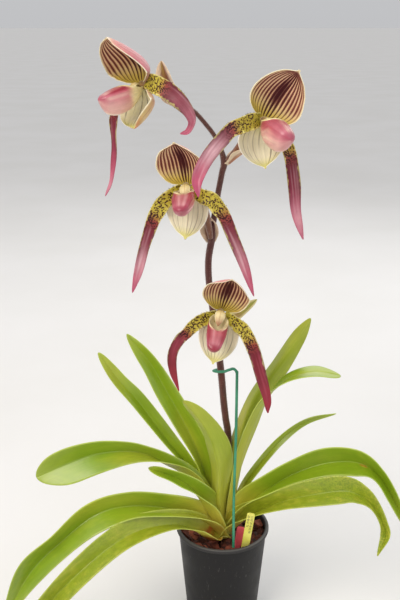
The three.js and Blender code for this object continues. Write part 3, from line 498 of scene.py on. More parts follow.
def skin_fields(marks, sizes, v, s, x, y):
    """Fields of a skin with two sides, the upper one first: the shares v and s, the sizes in mm, and the
    marks at (v, s, x, y)."""
    sides = []
    for under in (0, 1):
        side = {
            "shares": np.stack([v, s, np.full_like(v, under)], -1).reshape(-1, 3),
            "sizes": np.stack([*sizes, np.full_like(v, SIDE_APART * under)], -1).reshape(-1, 3),
        }
        for key, values in marks(v, s, x, y, under).items():
            side[key] = values.ravel()
        sides.append(side)
    return {key: np.concatenate([side[key] for side in sides]) for key in sides[0]}


def add_blade(name, grid, thickness, marks, materials, slot, replaced):
    """Closed sheet: the middle surface moved both ways along its normals by half the thickness, which
    falls from the middle to the margins, with a flat rim. Upper faces take the first material, under
    faces the second."""
    points, v, share, x = grid[:4]
    rows, columns = points.shape[:2]
    normals = unit(np.cross(np.gradient(points, axis=1), np.gradient(points, axis=0)))
    middle, edge = thickness
    depth = (edge + (middle - edge) * (1 - v ** 2) ** 0.7)[None, :, None] / 2
    both = [(points + move).reshape(-1, 3) for move in (normals * depth, -normals * depth)]
    count = rows * columns
    k = np.arange(count).reshape(rows, columns)
    loop = np.concatenate([k[0], k[1:, -1], k[-1, -2::-1], k[-2:0:-1, 0]])
    after = np.roll(loop, -1)
    rim = np.stack([after, loop, loop + count, after + count], -1)
    upper = quads(rows, columns)
    faces = np.concatenate([upper, upper[:, ::-1] + count, rim])
    kinds = np.repeat([0, 1, 0], [len(upper), len(upper), len(rim)])
    flat = np.arange(len(faces)) >= 2 * len(upper)
    v, y, _ = np.broadcast_arrays(v[None, :], share[:, None], x)
    add_piece(name, np.concatenate(both), faces, materials, slot, replaced, kinds, flat,
              **skin_fields(marks, (x, y), v, y / share[-1], x, y))


def rod_grid(rows, sides, steps, swell=None):
    """Rings of points round the rows' curve. swell takes (u, angle) and gives extra radius."""
    u = np.linspace(0, 1, steps + 1)
    data = along(rows, u)
    t = heading(rows, u)
    side = unit(np.cross((0, 1, 0), t))
    other = np.cross(t, side)
    angle = np.linspace(0, 2 * math.pi, sides, endpoint=False)[None, :]
    radius = data[:, 3:4] + (swell(u[:, None], angle) if swell else 0)
    out = side[:, None] * np.cos(angle)[..., None] + other[:, None] * np.sin(angle)[..., None]
    return data[:, None, :3] + out * radius[..., None], out, lengths(data[:, :3])


def ring_faces(rows, sides, first, last):
    """Faces round a stack of rings, closed by fans to the points first and last."""
    k = np.arange(rows * sides).reshape(rows, sides)
    after = np.roll(k, -1, axis=1)
    wall = np.stack([k[:-1], after[:-1], after[1:], k[1:]], -1).reshape(-1, 4)
    low = np.stack([after[0], k[0], np.full(sides, first), np.full(sides, first)], -1)
    high = np.stack([k[-1], after[-1], np.full(sides, last), np.full(sides, last)], -1)
    return np.concatenate([wall, low, high])


def add_rod(name, rows, marks, material, slot, replaced, sides, steps, swell=None):
    """Closed round rod along the rows' curve. Gives its rings and their outward directions."""
    rings, out, share = rod_grid(rows, sides, steps, swell)
    count = (steps + 1) * sides
    v, y = np.broadcast_arrays(np.linspace(0, 1, sides, endpoint=False)[None, :], share[:, None])
    v, y = np.append(v.ravel(), [0.5, 0.5]), np.append(y.ravel(), [0, share[-1]])
    points = np.concatenate([rings.reshape(-1, 3), [rings[0].mean(0), rings[-1].mean(0)]])
    faces = ring_faces(steps + 1, sides, count, count + 1)
    zero = np.zeros_like(v)
    girth = 2 * math.pi * rows[0][3]
    add_piece(name, points, faces, [material], slot, replaced,
              shares=np.stack([v, y / share[-1], zero], -1), sizes=np.stack([v * girth, y, zero], -1),
              **marks(v, y / share[-1], v * girth, y, 0))
    return rings, out


# Materials

def linear(code):
    """Linear colour with alpha from an sRGB hex code."""
    channels = np.array([int(code[k:k + 2], 16) / 255 for k in (1, 3, 5)])
    curve = np.where(channels <= 0.04045, channels / 12.92, ((channels + 0.055) / 1.055) ** 2.4)
    return (*curve.tolist(), 1.0)


def add(tree, kind, inputs=None, stops=(), **settings):
    """A node with its settings. Each input is a value, or the output of another node, by its name or
    number; a colour Mix node takes its two colours at 6 and 7. stops are the places and colours of a
    colour ramp."""
    node = tree.nodes.new(kind)
    for key, value in settings.items():
        setattr(node, key, value)
    for key, value in (inputs or {}).items():
        if isinstance(value, bpy.types.NodeSocket):
            tree.links.new(value, node.inputs[key])
        else:
            node.inputs[key].default_value = value
    for k, (place, colour) in enumerate(stops):
        element = node.color_ramp.elements[k] if k < 2 else node.color_ramp.elements.new(place)
        element.position = place
        element.color = linear(colour)
    return node


def new_material(name, **surface):
    """A material with a Principled surface, whose own sockets are set by name."""
    material = bpy.data.materials.new(name)
    material.use_nodes = True
    tree = material.node_tree
    tree.nodes.clear()
    sockets = {key.replace("_", " "): value for key, value in surface.items()}
    shader = add(tree, "ShaderNodeBsdfPrincipled", sockets)
    add(tree, "ShaderNodeOutputMaterial", {"Surface": shader.outputs[0]})
    return material, tree, shader


def tissue(name, stops, flush, pale, ink, rough, grain, relief, patch, vary=0.16, spots=None, stain=None,
           **surface):
    """Living plant tissue. The ground colour runs from base to tip. The flush, pale, ink and stain fields
    lay more colours over it, and the spots field shows blotches spots mm apart. Fibres, grain mm
    wide and long, tint it and raise its surface by relief mm, and soft patches of patch mm make it
    lighter and darker by the share vary. rough is its least and most roughness."""
    material, tree, shader = new_material(name, **surface)
    shares = add(tree, "ShaderNodeAttribute", attribute_name="shares")
    sizes = add(tree, "ShaderNodeAttribute", attribute_name="sizes").outputs["Vector"]
    share = add(tree, "ShaderNodeSeparateXYZ", {0: shares.outputs["Vector"]})
    colour = add(tree, "ShaderNodeValToRGB", {0: share.outputs["Y"]}, stops).outputs[0]
    layers = [("flush", flush), ("pale", pale), ("ink", ink), *([("stain", stain)] if stain else [])]
    for field, code in layers:
        mask = add(tree, "ShaderNodeAttribute", attribute_name=field)
        colour = add(tree, "ShaderNodeMix", {0: mask.outputs["Fac"], 6: colour, 7: linear(code)},
                     data_type="RGBA").outputs[2]
    if spots:
        spread = add(tree, "ShaderNodeVectorMath", {0: sizes, "Scale": 1 / spots}, operation="SCALE")
        stray = add(tree, "ShaderNodeTexNoise", {"Vector": spread.outputs[0], "Scale": 1.6, "Detail": 2.0})
        bent = add(tree, "ShaderNodeVectorMath",
                   {0: stray.outputs["Color"], 1: (0.8, 0.8, 0), 2: spread.outputs[0]},
                   operation="MULTIPLY_ADD")
        cells = add(tree, "ShaderNodeTexVoronoi", {"Vector": bent.outputs[0], "Scale": 1.0})
        blotch = add(tree, "ShaderNodeMapRange",
                     {0: cells.outputs["Distance"], 1: 0.44, 2: 0.55, 3: 1.0, 4: 0.0})
        where = add(tree, "ShaderNodeAttribute", attribute_name="spots")
        shown = add(tree, "ShaderNodeMath", {0: blotch.outputs[0], 1: where.outputs["Fac"]},
                    operation="MULTIPLY")
        colour = add(tree, "ShaderNodeMix", {0: shown.outputs[0], 6: colour, 7: linear(ink)},
                     data_type="RGBA").outputs[2]
    stretched = add(tree, "ShaderNodeMapping", {0: sizes, 3: (1 / grain[0], 1 / grain[1], 1)})
    fibres = add(tree, "ShaderNodeTexNoise", {"Vector": stretched.outputs[0], "Scale": 1.0, "Detail": 3.0})
    place = add(tree, "ShaderNodeTexCoord").outputs["Object"]
    clouds = add(tree, "ShaderNodeTexNoise", {"Vector": place, "Scale": 1000 / patch, "Detail": 4.0})
    both = add(tree, "ShaderNodeMath", {0: fibres.outputs[0], 1: clouds.outputs[0]}, operation="ADD")
    light = add(tree, "ShaderNodeMapRange", {0: both.outputs[0], 1: 0.6, 2: 1.4, 3: 1 - vary, 4: 1 + vary})
    toned = add(tree, "ShaderNodeVectorMath", {0: colour, "Scale": light.outputs[0]}, operation="SCALE")
    tree.links.new(toned.outputs[0], shader.inputs["Base Color"])
    add_gloss_and_relief(tree, shader, clouds.outputs[0], fibres.outputs[0], rough, relief)
    return material


def add_gloss_and_relief(tree, shader, clouds, grain, rough, relief):
    """Roughness that follows the clouds from its least to its most, and a grain relief mm high."""
    gloss = add(tree, "ShaderNodeMapRange", {0: clouds, 1: 0.3, 2: 0.7, 3: rough[0], 4: rough[1]})
    tree.links.new(gloss.outputs[0], shader.inputs["Roughness"])
    bump = add(tree, "ShaderNodeBump", {"Strength": 1.0, "Distance": relief * MM, "Height": grain})
    tree.links.new(bump.outputs[0], shader.inputs["Normal"])


# Cuticle of a mature strap leaf: waxed, so it takes broad soft highlights over fine parallel veins
leaf_upper = tissue(
    "leaf_waxed_cuticle",
    [(0.0, "#dcc65a"), (0.13, "#cac242"), (0.3, "#8ea61e"), (0.8, "#84a116"), (1.0, "#9aac28")],
    flush="#c6be3e", pale="#c3d05c", ink="#56780e", rough=(0.28, 0.4), grain=(1.3, 26), relief=0.08, patch=30,
    vary=0.12, stain="#a4581a", Coat_Weight=0.5, Coat_Roughness=0.3, IOR=1.5,
)
# Underside of the leaf: no wax, matte olive with a pale bloom
leaf_under = tissue(
    "leaf_matte_underside",
    [(0.0, "#dccb5c"), (0.16, "#c2c044"), (0.7, "#98a826"), (1.0, "#a2aa34")],
    flush="#cfc44c", pale="#c8ce70", ink="#78841f", rough=(0.42, 0.55), grain=(1.3, 26), relief=0.1, patch=24,
    vary=0.12, stain="#a4581a", Coat_Weight=0.15, Coat_Roughness=0.4, IOR=1.44,
)
# Old leaf, mottled yellow and green all over, with the same wax
leaf_mottled = tissue(
    "leaf_mottled_cuticle",
    [(0.0, "#c2b644"), (0.2, "#a0a828"), (0.6, "#90a01c"), (1.0, "#a4aa2c")],
    flush="#b4b438", pale="#c8ce5c", ink="#788e16", rough=(0.34, 0.46), grain=(1.6, 9), relief=0.1, patch=7,
    vary=0.18, spots=1.7, stain="#a4581a", Coat_Weight=0.3, Coat_Roughness=0.32, IOR=1.46,
)
# Dorsal sepal, inside: cream tissue with maroon stripes that show through a satin skin
dorsal_inside = tissue(
    "sepal_striped_inside",
    [(0.0, "#b39e36"), (0.12, "#c6aa50"), (0.28, "#dcbf86"), (0.6, "#e2c096"), (1.0, "#e8d0a0")],
    flush="#a34a48", pale="#f3e8c4", ink="#3c060e", rough=(0.5, 0.62), grain=(0.8, 10), relief=0.12,
    patch=8, vary=0.12, Specular_IOR_Level=0.22, IOR=1.4,
)
# Dorsal sepal, back: rosy tissue with the stripes faint behind it
dorsal_back = tissue(
    "sepal_rosy_back",
    [(0.0, "#b9a05a"), (0.25, "#bb6068"), (0.7, "#c46670"), (1.0, "#dfb49c")],
    flush="#cf8484", pale="#f0e2cc", ink="#9a4a50", rough=(0.45, 0.6), grain=(0.8, 10), relief=0.15, patch=8,
    Sheen_Weight=0.3, IOR=1.4,
)
# Synsepal, inside: pale cream tissue, satin and faintly veined
synsepal_inside = tissue(
    "sepal_cream_inside",
    [(0.0, "#d3cb92"), (0.3, "#e3dbbd"), (0.75, "#ebe3c2"), (1.0, "#d8d070")],
    flush="#d6cf78", pale="#f4eeda", ink="#5c4a38", rough=(0.42, 0.55), grain=(0.8, 10), relief=0.15, patch=8,
    vary=0.1, Sheen_Weight=0.15, IOR=1.4,
)
# Synsepal, back: tan tissue, matte and slightly velvety
synsepal_back = tissue(
    "sepal_tan_back",
    [(0.0, "#bd8f58"), (0.4, "#cc9668"), (0.9, "#d3b877"), (1.0, "#c9c467")],
    flush="#c98a5a", pale="#eadfb4", ink="#9a5a44", rough=(0.5, 0.62), grain=(0.8, 10), relief=0.15, patch=8,
    Sheen_Weight=0.3, IOR=1.4,
)
# Petal: yellow with dark raised spots near the column, then maroon, with a rosy end; fleshy and satin
FLESHY = dict(rough=(0.4, 0.52), grain=(0.7, 9), relief=0.2, patch=6, spots=1.65, Specular_IOR_Level=0.4,
              IOR=1.42)
petal_skin = tissue(
    "petal_fleshy_skin",
    [(0.0, "#b3a434"), (0.27, "#bfae40"), (0.36, "#8a3830"), (0.44, "#701a2c"), (0.6, "#7f2338"),
     (0.76, "#ab4a62"), (0.9, "#b8506c"), (1.0, "#b04a68")],
    flush="#dcb0b6", pale="#dccf7c", ink="#38090f", **FLESHY,
)
# Petal of the lowest bloom: the same satin flesh, dark red to its end
petal_dark_skin = tissue(
    "petal_dark_fleshy_skin",
    [(0.0, "#b3a434"), (0.27, "#bfae40"), (0.36, "#8c3a2e"), (0.44, "#701c28"), (0.7, "#80222e"),
     (1.0, "#982838")],
    flush="#b85468", pale="#d9cf94", ink="#32090f", **FLESHY,
)
# Pouch: thick, glossy and full, rose over cream
GLOSSY = dict(rough=(0.28, 0.4), grain=(1.4, 9), relief=0.12, patch=9, vary=0.14, Coat_Weight=0.35,
              Coat_Roughness=0.22, IOR=1.45)
pouch_rose_skin = tissue(
    "pouch_rose_glossy_skin",
    [(0.0, "#d4968a"), (0.3, "#cc6e78"), (0.6, "#d0747e"), (0.85, "#d07c88"), (1.0, "#bc6276")],
    flush="#eed2b8", pale="#efe2a8", ink="#9a2238", **GLOSSY,
)
# The lower two pouches: as glossy, and a deeper red
pouch_red_skin = tissue(
    "pouch_red_glossy_skin",
    [(0.0, "#c8504c"), (0.3, "#c04048"), (0.6, "#b84452"), (0.85, "#b44c60"), (1.0, "#9c3450")],
    flush="#e8b0b0", pale="#ead9a6", ink="#941a2c", **GLOSSY,
)
# Inside of a pouch: cream flesh with a soft shine, rosy towards the toe
pouch_lining = tissue(
    "pouch_cream_lining",
    [(0.0, "#dccb90"), (0.5, "#d9b394"), (1.0, "#c98a8a")],
    flush="#e2d293", pale="#efe3b8", ink="#8a3a44", rough=(0.4, 0.5), grain=(1.4, 7), relief=0.1, patch=9,
    IOR=1.42,
)
# Staminode: a waxy shield, cream with a warm middle
staminode_skin = tissue(
    "staminode_waxy_skin",
    [(0.0, "#dcc878"), (0.5, "#e9d6a0"), (1.0, "#e4bd94")],
    flush="#d08c78", pale="#f4e8bc", ink="#b88a50", rough=(0.32, 0.45), grain=(0.6, 3), relief=0.1, patch=4,
    IOR=1.45,
)
# Bract, inside: papery sheath, matte, brown within and cream along its margins
PAPERY = dict(rough=(0.5, 0.65), grain=(0.7, 12), relief=0.2, patch=7, IOR=1.4)
bract_inside = tissue(
    "bract_papery_inside",
    [(0.0, "#7a3a28"), (0.5, "#8c4c34"), (1.0, "#b4a04c")],
    flush="#96583a", pale="#e2cdb0", ink="#562016", Sheen_Weight=0.25, **PAPERY,
)
# Bract, back: the same dry paper, tan
bract_back = tissue(
    "bract_papery_back",
    [(0.0, "#a8643c"), (0.5, "#c49068"), (1.0, "#b8a85c")],
    flush="#cc8e74", pale="#e8d8b8", ink="#8a4c38", Sheen_Weight=0.3, **PAPERY,
)
# Bract of the lowest bloom, still fresh: tan pink at its foot, green towards its tip
bract_green = tissue(
    "bract_fresh_green",
    [(0.0, "#b08062"), (0.35, "#c0a070"), (0.65, "#a8a84a"), (1.0, "#8ea336")],
    flush="#b8986a", pale="#cfc68e", ink="#8a6a3c", Sheen_Weight=0.2, **PAPERY,
)
# Flower stem: brown maroon skin, matte and velvety under short grey down
DOWNY = dict(rough=(0.6, 0.75), grain=(0.8, 8), relief=0.2, patch=6, Sheen_Weight=0.5, IOR=1.4)
stem_skin = tissue(
    "stem_downy_skin",
    [(0.0, "#75503c"), (0.3, "#66322a"), (0.7, "#502420"), (1.0, "#5e3a30")],
    flush="#8a5c4a", pale="#9c8672", ink="#3c1c1a", **DOWNY,
)
# Ovary: the same velvety skin, browner, and olive at the column
ovary_skin = tissue(
    "ovary_downy_skin",
    [(0.0, "#6e4634"), (0.5, "#8a5a40"), (1.0, "#a89055")],
    flush="#a0704c", pale="#b59c74", ink="#4c241a", **DOWNY,
)
# Crown: old sheaths, brown at the foot and olive above, with a dull wax
crown_skin = tissue(
    "crown_old_sheaths",
    [(0.0, "#6a5426"), (0.4, "#8f8238"), (1.0, "#a6a544")],
    flush="#8a5a28", pale="#c4bf6c", ink="#5c3a18", rough=(0.45, 0.6), grain=(1.2, 14), relief=0.25, patch=9,
    IOR=1.42,
)


def solid_finish(name, low, high, patch, rough, relief, **surface):
    """A made or dead material: two tones in patches of patch mm, and a grain relief mm high."""
    material, tree, shader = new_material(name, **surface)
    place = add(tree, "ShaderNodeTexCoord").outputs["Object"]
    clouds = add(tree, "ShaderNodeTexNoise", {"Vector": place, "Scale": 1000 / patch, "Detail": 6.0})
    colour = add(tree, "ShaderNodeValToRGB", {0: clouds.outputs[0]}, [(0.35, low), (0.65, high)])
    tree.links.new(colour.outputs[0], shader.inputs["Base Color"])
    add_gloss_and_relief(tree, shader, clouds.outputs[0], clouds.outputs[0], rough, relief)
    return material


# Polypropylene, injection moulded: charcoal, satin, with dusty scuffs and a paler worn rim
pot_plastic = solid_finish(
    "pot_moulded_polypropylene", "#121112", "#191819", patch=18, rough=(0.45, 0.6), relief=0.05,
    Specular_IOR_Level=0.3, IOR=1.49,
)
tree = pot_plastic.node_tree
shader = tree.nodes["Principled BSDF"]
place = add(tree, "ShaderNodeTexCoord").outputs["Object"]
upright = add(tree, "ShaderNodeMapping", {0: place, 2: (0.3, 0.5, 0.2), 3: (420, 420, 90)}).outputs[0]
scratches = add(tree, "ShaderNodeTexNoise",
                {"Vector": upright, "Scale": 1.0, "Detail": 8.0, "Roughness": 0.7})
dusty = add(tree, "ShaderNodeMapRange", {0: scratches.outputs[0], 1: 0.6, 2: 0.75, 3: 0.0, 4: 0.45})
worn = add(tree, "ShaderNodeAttribute", attribute_name="worn")
most = add(tree, "ShaderNodeMath", {0: dusty.outputs[0], 1: worn.outputs["Fac"]}, operation="MAXIMUM")
charcoal = shader.inputs["Base Color"].links[0].from_socket
dusted = add(tree, "ShaderNodeMix", {0: most.outputs[0], 6: charcoal, 7: linear("#7d7a78")},
             data_type="RGBA")
tree.links.new(dusted.outputs[2], shader.inputs["Base Color"])

# Pine bark, broken: each chip has its own brown, a little uneven from corner to corner
bark_chips = solid_finish(
    "bark_broken_pine", "#2a1410", "#7c4430", patch=5, rough=(0.75, 0.9), relief=0.5, IOR=1.4,
)
tree = bark_chips.node_tree
shader = tree.nodes["Principled BSDF"]
tone = add(tree, "ShaderNodeAttribute", attribute_name="tone")
own = add(tree, "ShaderNodeValToRGB", {0: tone.outputs["Fac"]}, [
    (0.0, "#150b09"), (0.3, "#41190f"), (0.6, "#7a3824"), (0.85, "#a65a42"), (1.0, "#c08672"),
])
grained = shader.inputs["Base Color"].links[0].from_socket
mixed = add(tree, "ShaderNodeMix", {0: 0.6, 6: grained, 7: own.outputs[0]}, data_type="RGBA")
tree.links.new(mixed.outputs[2], shader.inputs["Base Color"])

# Steel wire coated with PVC: smooth, slightly chalky green
stake_coating = solid_finish(
    "stake_pvc_coating", "#2a7a58", "#449a76", patch=30, rough=(0.35, 0.5), relief=0.02, IOR=1.5,
)
# Styrene label strip: yellow, flat and matte, faintly soiled
label_yellow = solid_finish(
    "label_styrene_yellow", "#dcd65a", "#ebe672", patch=9, rough=(0.45, 0.6), relief=0.02, IOR=1.5,
)
# The same strip in red
label_red = solid_finish(
    "label_styrene_red", "#cc4650", "#dd5c66", patch=9, rough=(0.45, 0.6), relief=0.02, IOR=1.5,
)
# Graphite pencil on the label: dull dark grey
pencil = solid_finish(
    "label_pencil_graphite", "#3c3a30", "#5a5844", patch=2, rough=(0.6, 0.7), relief=0.01, IOR=1.5,
)
# Down of the stem and the ovaries: short pale hairs without shine
down = solid_finish(
    "down_pale_hair", "#8a7c6c", "#b3a690", patch=3, rough=(0.6, 0.7), relief=0.01, IOR=1.4,
)
# Hairs of the petals: stiff and almost black
dark_hair = solid_finish(
    "petal_dark_hair", "#2c0c0e", "#4a1a18", patch=3, rough=(0.5, 0.6), relief=0.01, IOR=1.4,
)
# Painted floor of a studio: pale and matte
studio_floor = solid_finish(
    "studio_floor_paint", "#e4e2de", "#e8e6e3", patch=400, rough=(0.8, 0.85), relief=0.0, IOR=1.4,
)


# Marks: fields that the tissue materials read, from the place across (v), along (s) and in mm (x, y)

def cloud(x, y, seed):
    """Soft noise, mostly from -1 to 1: twelve sine waves with their own heading, length and start."""
    random = np.random.default_rng(seed)
    total = 0
    for _ in range(12):
        way = random.uniform(0, 2 * math.pi)
        rate = random.uniform(0.5, 2.0)
        start = random.uniform(0, 6.3)
        total = total + np.sin(rate * (x * math.cos(way) + y * math.sin(way)) + start)
    return total / 5


def leaf_marks(seed, mottle, bite, worn):
    """Fine veins 2.2 mm apart, soft patches, a young yellow foot and a thin pale margin. mottle is the
    strength of the yellow mottling, bite a brown spot at (x, y) mm, and worn the strength of the brown
    stain 20 mm up the foot."""
    def marks(v, s, x, y, under):
        rib = 1 - smooth(np.abs(x), 0.2, 1.1)
        veins = 0.5 + 0.5 * np.cos(2 * math.pi * x / 2.2 + 0.6 * cloud(x / 9, y / 60, seed))
        patches = smooth(cloud(x / 11, y / 34, seed + 1), 0.1, 1.1)
        net = smooth(cloud(x / 1.5, y / 2.6, seed + 2) + 0.5 * cloud(x / 5, y / 11, seed + 3), 0.0, 0.8)
        ragged = 0.3 + 0.7 * smooth(cloud(x / 3, y / 3, seed + 4), -0.6, 0.8)
        foot = worn * np.exp(-((y - 20) / 13) ** 2) * ragged
        young = 0.85 * (1 - smooth(y, 12, 65))
        spot = 0
        if bite:
            spot = np.exp(-(((x - bite[0]) / 2.2) ** 2 + ((y - bite[1]) / 4) ** 2) ** 2)
        dense = 1.1 * mottle * smooth(s, 0.2, 0.5) * (0.6 + 0.6 * cloud(x / 9, y / 20, seed + 6))
        return {
            "spots": np.clip(dense, 0, 1),
            "ink": np.clip(0.08 * rib + 0.12 * veins + 0.15 * mottle * (1 - net), 0, 1),
            "flush": np.clip(0.35 * patches + mottle * net * smooth(s, 0.15, 0.45) + spot + young, 0, 1),
            "pale": 0.7 * smooth(np.abs(v), 0.965, 0.99),
            "stain": np.clip(foot + spot * smooth(cloud(x, y, seed + 5), -0.9, 0.3), 0, 1),
        }
    return marks


def dorsal_marks(seed):
    """Dark stripes along the veins, broadest near the middle line and half way up, each with a blush
    beside it, and a pale margin. The back is rosy, with the stripes faint."""
    def marks(v, s, x, y, under):
        spacing = v * DORSAL_VEINS + 0.16 * cloud(v * 3, s * 6, seed)
        near = np.abs(spacing - np.round(spacing))
        broad = 0.17 * np.exp(-(v / 0.25) ** 2) * (1 - 0.6 * smooth(s, 0.6, 0.85))
        wide = 0.23 + broad + 0.05 * cloud(v * 14, s * 9, seed + 1)
        wide = wide * (0.6 + 0.4 * smooth(s, 0.05, 0.35)) * (1 - 0.4 * smooth(s, 0.8, 1.0))
        stripe = 1 - smooth(near, wide - 0.13, wide + 0.03)
        edged = 1 - smooth(near, wide + 0.03, wide + 0.17)
        middle = (1 - smooth(np.abs(v), 0.04, 0.17)) * smooth(s, 0.2, 0.42) * (1 - smooth(s, 0.6, 0.85))
        inner = (1 - smooth(np.abs(v), 0.9, 0.96)) * (1 - smooth(s, 0.93, 0.985))
        stripe = np.maximum(stripe, middle) * inner * smooth(s, 0.0, 0.08)
        blush = 0.8 * edged * inner * smooth(s, 0.12, 0.42)
        return {
            "ink": stripe * (0.82 + 0.16 * np.exp(-(v / 0.35) ** 2)) * (1 - 0.72 * under),
            "flush": np.maximum(blush, 0.6 * under * inner),
            "pale": np.maximum(smooth(np.abs(v), 0.95, 0.99), smooth(s, 0.97, 1.0)),
        }
    return marks


def synsepal_marks(seed):
    """Thin veins of uneven strength that fade before the margin, soft patches, a warm tip and a pale
    margin."""
    def marks(v, s, x, y, under):
        spacing = v * 4.1 + 0.14 * cloud(v * 3, s * 5, seed)
        near = np.abs(spacing - np.round(spacing))
        veins = (1 - smooth(near, 0.04, 0.11)) * (0.7 + 0.5 * cloud(np.round(spacing) * 2.7, s * 3, seed + 2))
        inner = (1 - smooth(np.abs(v), 0.85, 0.95)) * (1 - smooth(s, 0.86, 0.97))
        patches = smooth(cloud(x / 6, y / 12, seed + 1), 0.2, 1.0)
        return {
            "ink": np.clip(0.85 * veins * inner, 0, 1),
            "flush": np.clip(0.3 * patches + smooth(s, 0.84, 1.0), 0, 1),
            "pale": smooth(np.abs(v), 0.93, 0.985),
        }
    return marks


def petal_marks(seed, rosy):
    """Dark spots on the yellow part, thinned near the column, then streaks along the petal, a dark rim
    where it turns maroon and ragged pale lobes on its margin. rosy is where along the petal it is
    rosy, over what length and how strongly."""
    centre, spread, strength = rosy

    def marks(v, s, x, y, under):
        border = s + 0.03 * cloud(x / 2, y / 4, seed)
        yellow = 1 - smooth(border, 0.29, 0.38)
        spots = (1 - smooth(border, 0.36, 0.46)) * (1 - smooth(np.abs(v), 0.86, 0.98)) * smooth(s, 0.0, 0.03)
        spots = spots * (1 - smooth(cloud(x / 1.2, y / 1.6, seed + 5), 0.1, 0.5) * (1 - smooth(s, 0.12, 0.3)))
        streak = smooth(cloud(x / 0.8, y / 18, seed + 1), -0.2, 1.1) * (1.1 - 0.6 * v ** 2)
        streak = streak * smooth(border, 0.37, 0.5)
        fibres = 0.55 + 0.45 * smooth(cloud(x / 0.9, y / 16, seed + 2), -0.8, 0.8)
        end = np.exp(-((s - centre) / spread) ** 2) * fibres
        rim = smooth(np.abs(v), 0.5, 0.9) * smooth(border, 0.36, 0.44) * (1 - smooth(border, 0.6, 0.8))
        ragged = 0.13 * cloud(y / 1.1, v * 2, seed + 3) + 0.08 * cloud(y / 3.5, v * 2, seed + 4)
        lobes = smooth(np.abs(v) + ragged, 0.86, 0.95) * (1 - smooth(s, 0.5, 0.72))
        return {
            "spots": spots,
            "ink": 0.4 * rim * (1 - 0.5 * under),
            "flush": np.clip(0.3 * streak + strength * end * (1 - 0.5 * v ** 2), 0, 1) * (1 - yellow),
            "pale": 0.8 * lobes,
        }
    return marks


def bract_marks(seed):
    """Fine veins 1.9 mm apart in the middle, soft patches, a pale collar over the first 2 mm and a pale
    margin that grows towards the tip."""
    def marks(v, s, x, y, under):
        veins = 0.5 + 0.5 * np.cos(2 * math.pi * x / 1.9 + cloud(x / 5, y / 20, seed))
        collar = 1 - smooth(y + 0.6 * cloud(x / 2, y, seed + 3), 1.5, 3.5)
        margin = smooth(np.abs(v) + 0.06 * cloud(x, y / 4, seed + 2) + 0.25 * s, 0.45, 0.75)
        return {
            "ink": 0.5 * veins * (1 - smooth(np.abs(v), 0.5, 0.75)) * (1 - collar),
            "flush": smooth(cloud(x / 5, y / 9, seed + 1), 0.0, 1.0) * (1 - collar),
            "pale": np.maximum(0.95 * margin, collar),
        }
    return marks


def staminode_marks(v, s, x, y, under):
    """A darker middle line, a warm lower half and pale sides."""
    return {
        "ink": 0.5 * (1 - smooth(np.abs(v), 0.04, 0.14)),
        "flush": 0.6 * smooth(s, 0.6, 0.95) * (1 - smooth(np.abs(v), 0.5, 0.9)),
        "pale": smooth(np.abs(v), 0.75, 0.95),
    }


def rod_marks(seed):
    """Patches round a rod: dark ones, longer warm ones and short pale flecks."""
    def marks(v, s, x, y, under):
        around = 2 * math.pi * v
        return {
            "ink": 0.5 * smooth(cloud(3 * np.cos(around), y / 6, seed), 0.0, 1.0),
            "flush": 0.6 * smooth(cloud(2 * np.sin(around), y / 25, seed + 1), 0.1, 1.1),
            "pale": 0.5 * smooth(cloud(9 * np.cos(around), y / 1.2, seed + 2), 0.5, 1.4),
        }
    return marks


def pouch_marks(seed, heel, belly, face, tip):
    """Veins and streaks along the pouch, painted shade in dark red on each upper side beside the mouth,
    a painted highlight over the top past the mouth, and a cream rim. heel is the share of the length
    that is cream, belly how pale and streaked the lower side is, face how strong the painted highlight,
    pale and streaked, is over the top towards the toe, and tip how dark the toe is."""
    def marks(w, t, around, y, under):
        low = smooth(-np.sin(around) + 0.12 * cloud(w * 5, t * 4, seed + 3), -0.15, 0.7)
        veins = smooth(cloud(w * 16, t * 1.6, seed), -0.3, 0.9) * (1 - smooth(t, 0.86, 0.97))
        streaks = smooth(cloud(w * 24, t * 2.4, seed + 1), -0.2, 0.8)
        streaks = streaks * smooth(t, 0.25, 0.55) * (1 - smooth(t, 0.84, 0.97))
        back = 1 - smooth(t + 0.04 * cloud(w * 6, t * 6, seed + 2), heel - 0.1, heel + 0.08)
        rim = smooth(np.abs(w), 0.86, 0.92) * (1 - smooth(t, 0.45, 0.6))
        # Painted highlight: a pale band along the top of the pouch past the mouth, towards the toe
        front_highlight = face * smooth(np.abs(w), 0.7, 0.95) * smooth(t, 0.4, 0.62) * (1 - smooth(t, 0.88, 0.97))
        # Painted shade: dark red on the upper sides beside the mouth, kept off the rim and the painted
        # highlight
        side_shade = smooth(np.abs(w), 0.35, 0.75) * (1 - rim) * (1 - smooth(t, 0.7, 0.95)) * (1 - front_highlight)
        toe = tip * smooth(t, 0.86, 0.97)
        pale_belly = belly * low * (0.5 + 0.5 * streaks) + 0.4 * streaks * (1 - side_shade)
        paler = pale_belly + front_highlight * (0.5 + 0.5 * streaks) + 0.25 * under
        return {
            "ink": np.clip(0.25 * veins + 0.6 * side_shade + toe, 0, 1) * (1 - 0.8 * low * belly) * (1 - back),
            "flush": np.clip(paler, 0, 1) * (1 - 0.7 * toe),
            "pale": np.clip(np.maximum(rim, 0.9 * back), 0, 1),
        }
    return marks


def no_marks(v, s, x, y, under):
    """A label's material reads no marks."""
    return {}


# Ripples: extra height of a blade at the share along (u), the share across (v) and the half width

def veined(count, height, margin, waves, seed):
    """Low ridges, count to each half, and a margin that waves a little."""
    def ripple(u, v, half):
        ridges = height * np.cos(2 * math.pi * count * v) * (1 - v ** 2)
        edge = margin * v ** 4 * np.sin(2 * math.pi * waves * u + seed + 1.3 * np.sign(v))
        return (ridges + edge) * np.minimum(1, half / 8)
    return ripple


